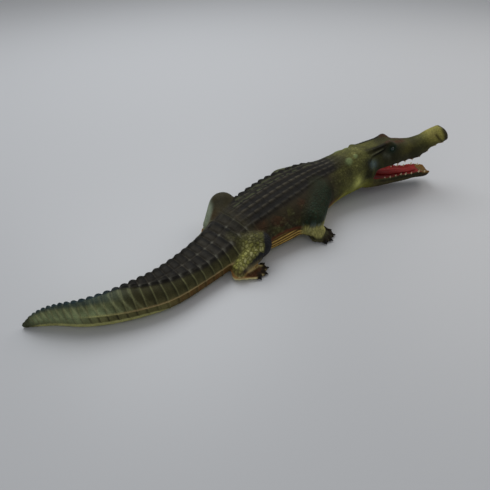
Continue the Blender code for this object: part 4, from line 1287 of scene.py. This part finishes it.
def build_teeth(name, material, places, sections, column, matrix, inset, over, point):
    """A row of teeth along both sides of a jaw; point is 1 where they point up and -1 where down."""
    rings = []
    for ahead, size in places:
        out = at_section(sections, 1, ahead) - inset
        level = at_section(sections, column, ahead) + over
        for side in (1, -1):
            root = Vector((ahead, side * out, level - point * TOOTH_ROOT))
            tip = Vector((ahead, side * (out + TOOTH_LEAN), level + point * TOOTH_LENGTH * size))
            rings.append(horn(matrix @ root, matrix @ tip, TOOTH_RADIUS * (0.7 + 0.3 * size), (0, 0, 0)))
    return piece_from(name, rings, material)


def build_claws(name, material):
    _, front, tips = FEET[name]
    rings = []
    for tip in tips:
        _, end, along, _ = toe_line(front, tip)
        root = end + (0, 0, TOE_RADIUS * 0.85) - along * CLAW_ROOT
        point = end + along * CLAW_LENGTH + (0, 0, CLAW_RISE)
        rings.append(horn(root, point, CLAW_RADIUS, (0, 0, CLAW_BEND)))
    return piece_from(f"claws_{name}", rings, material)


def tongue_rings(count=60, around=40):
    """A low grainy pad with a groove down its middle."""
    table = np.array(JAW_SECTIONS, float)
    at = np.linspace(0.040, 0.192, count)
    half, rim = smooth_steps(table[:, 0], table[:, 1:3], at).T[..., None]
    swell = np.sin(np.linspace(0.02, 0.98, count) * math.pi)[:, None] ** 0.35
    angle = circle(around)[None]
    across = np.sin(angle) * half * 0.46 * swell
    ahead = at[:, None]
    grain = 0.0005 * np.sin(ahead * 1900 + 2 * np.sin(angle * 5)) * np.sin(angle * 9 + ahead * 700)
    groove = -0.0012 * near(across, 0.002) * (np.cos(angle) > 0)
    high = rim - MOUTH_DEPTH + (0.5 + 0.5 * np.cos(angle)) * 0.0058 * swell
    return rings_in(LOWER, at, across, high + (grain + groove) * (np.cos(angle) > 0.1))


def eye_rings(side):
    """A ball with a slight bulge, set into the head."""
    centre = np.array(UPPER @ Vector((EYE_PLACE.x, EYE_PLACE.y * side, EYE_PLACE.z)))
    out = np.array(UPPER.to_3x3() @ Vector((0.15, side * 0.92, 0.36)))
    out = out / np.linalg.norm(out)
    across = unit(np.cross(out, [0, 0, 1.0]))
    up = np.cross(across, out)
    angle = circle(40)[:, None]
    turned = np.cos(angle) * across + np.sin(angle) * up
    rings = []
    for t in np.radians(np.linspace(-88, 88, 28)):
        bulge = 1 + 0.05 * near(t - math.pi / 2, 0.5)
        rings.append(centre + EYE_RADIUS * bulge * (math.sin(t) * out + math.cos(t) * turned))
    return np.array(rings)


# ---------------------------------------------------------------- stage
CAMERA_PLACE = (-0.5795, 0.6074, 0.6976)
CAMERA_LOOK = (0.555, -0.462, -0.692)
CAMERA_ROLL = math.radians(-1.77)
CAMERA_FIELD = math.radians(70.27)
SKY_COLOUR, SKY_STRENGTH = (0.97, 0.985, 1.0, 1), 0.36


def build_floor():
    bpy.ops.mesh.primitive_plane_add(size=30)
    floor = bpy.context.object
    floor.name = "floor"
    grey = {"Base Color": (*srgb(192, 193, 196), 1), "Roughness": 0.42}
    floor.data.materials.append(painted("pale_floor", lambda material: grey))


def add_light(name, place, size, power, colour):
    """A flat light that faces the middle of the figure."""
    light = bpy.data.lights.new(name, "AREA")
    light.shape = "RECTANGLE"
    light.size, light.size_y = size
    light.energy = power
    light.color = colour
    obj = placed_object(name, light)
    obj.location = place
    obj.rotation_euler = (-Vector(place)).to_track_quat("-Z", "Y").to_euler()


def build_lights():
    world = bpy.data.worlds.new("soft_studio")
    bpy.context.scene.world = world
    world.use_nodes = True
    background = world.node_tree.nodes["Background"].inputs
    background["Color"].default_value, background["Strength"].default_value = SKY_COLOUR, SKY_STRENGTH
    add_light("window", (2.2, -0.6, 3.2), (3.0, 2.4), 80, (0.95, 0.98, 1.0))
    add_light("fill", (-0.4, -2.6, 2.2), (2.0, 2.0), 20, (1.0, 0.96, 0.90))


def build_camera():
    camera = bpy.data.cameras.new("camera")
    camera.sensor_width = 36
    camera.angle = CAMERA_FIELD
    camera.clip_start, camera.clip_end = 0.01, 100
    obj = placed_object("camera", camera)
    obj.location = CAMERA_PLACE
    look = Vector(CAMERA_LOOK).to_track_quat("-Z", "Y").to_matrix()
    obj.rotation_euler = (look @ Matrix.Rotation(CAMERA_ROLL, 3, "Z")).to_euler()
    bpy.context.scene.camera = obj


def main():
    skin = build_skin()
    skin.data.materials.clear()
    skin.data.materials.append(skin_material())
    flesh = [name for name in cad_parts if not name.startswith("eye") and name != "tongue"]
    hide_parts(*flesh)
    pieces = [(skin, "trunk")]
    ivory = plain_paint("ivory_paint", srgb(222, 208, 168), 0.35, 0.10)
    black = plain_paint("black_paint", srgb(22, 19, 17), 0.30, 0.35)
    red = plain_paint("red_paint", srgb(134, 26, 22), 0.60, 0.35, 300)
    eye_paint = eye_material()
    lower = build_teeth("teeth_lower", ivory, LOWER_TEETH, JAW_SECTIONS, 2, LOWER, *LOWER_SET, 1)
    upper = build_teeth("teeth_upper", ivory, UPPER_TEETH, HEAD_SECTIONS, 4, UPPER, *UPPER_SET, -1)
    pieces += [(lower, "head"), (upper, "head")]
    pieces += [(build_claws(name, black), "feet") for name in FEET]
    tongue = piece_from("red_tongue", [tongue_rings()], red)
    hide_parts("tongue")
    pieces.append((tongue, "mouth"))
    for side, word in ((1, "left"), (-1, "right")):
        eye = piece_from(f"painted_eye_{word}", [eye_rings(side)], eye_paint)
        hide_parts(f"eye_{word}")
        pieces.append((eye, "eyes"))
    for piece, slot in pieces:
        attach(piece, "root")
    build_floor()
    build_lights()
    build_camera()
    bpy.context.scene.view_settings.view_transform = "Standard"


main()
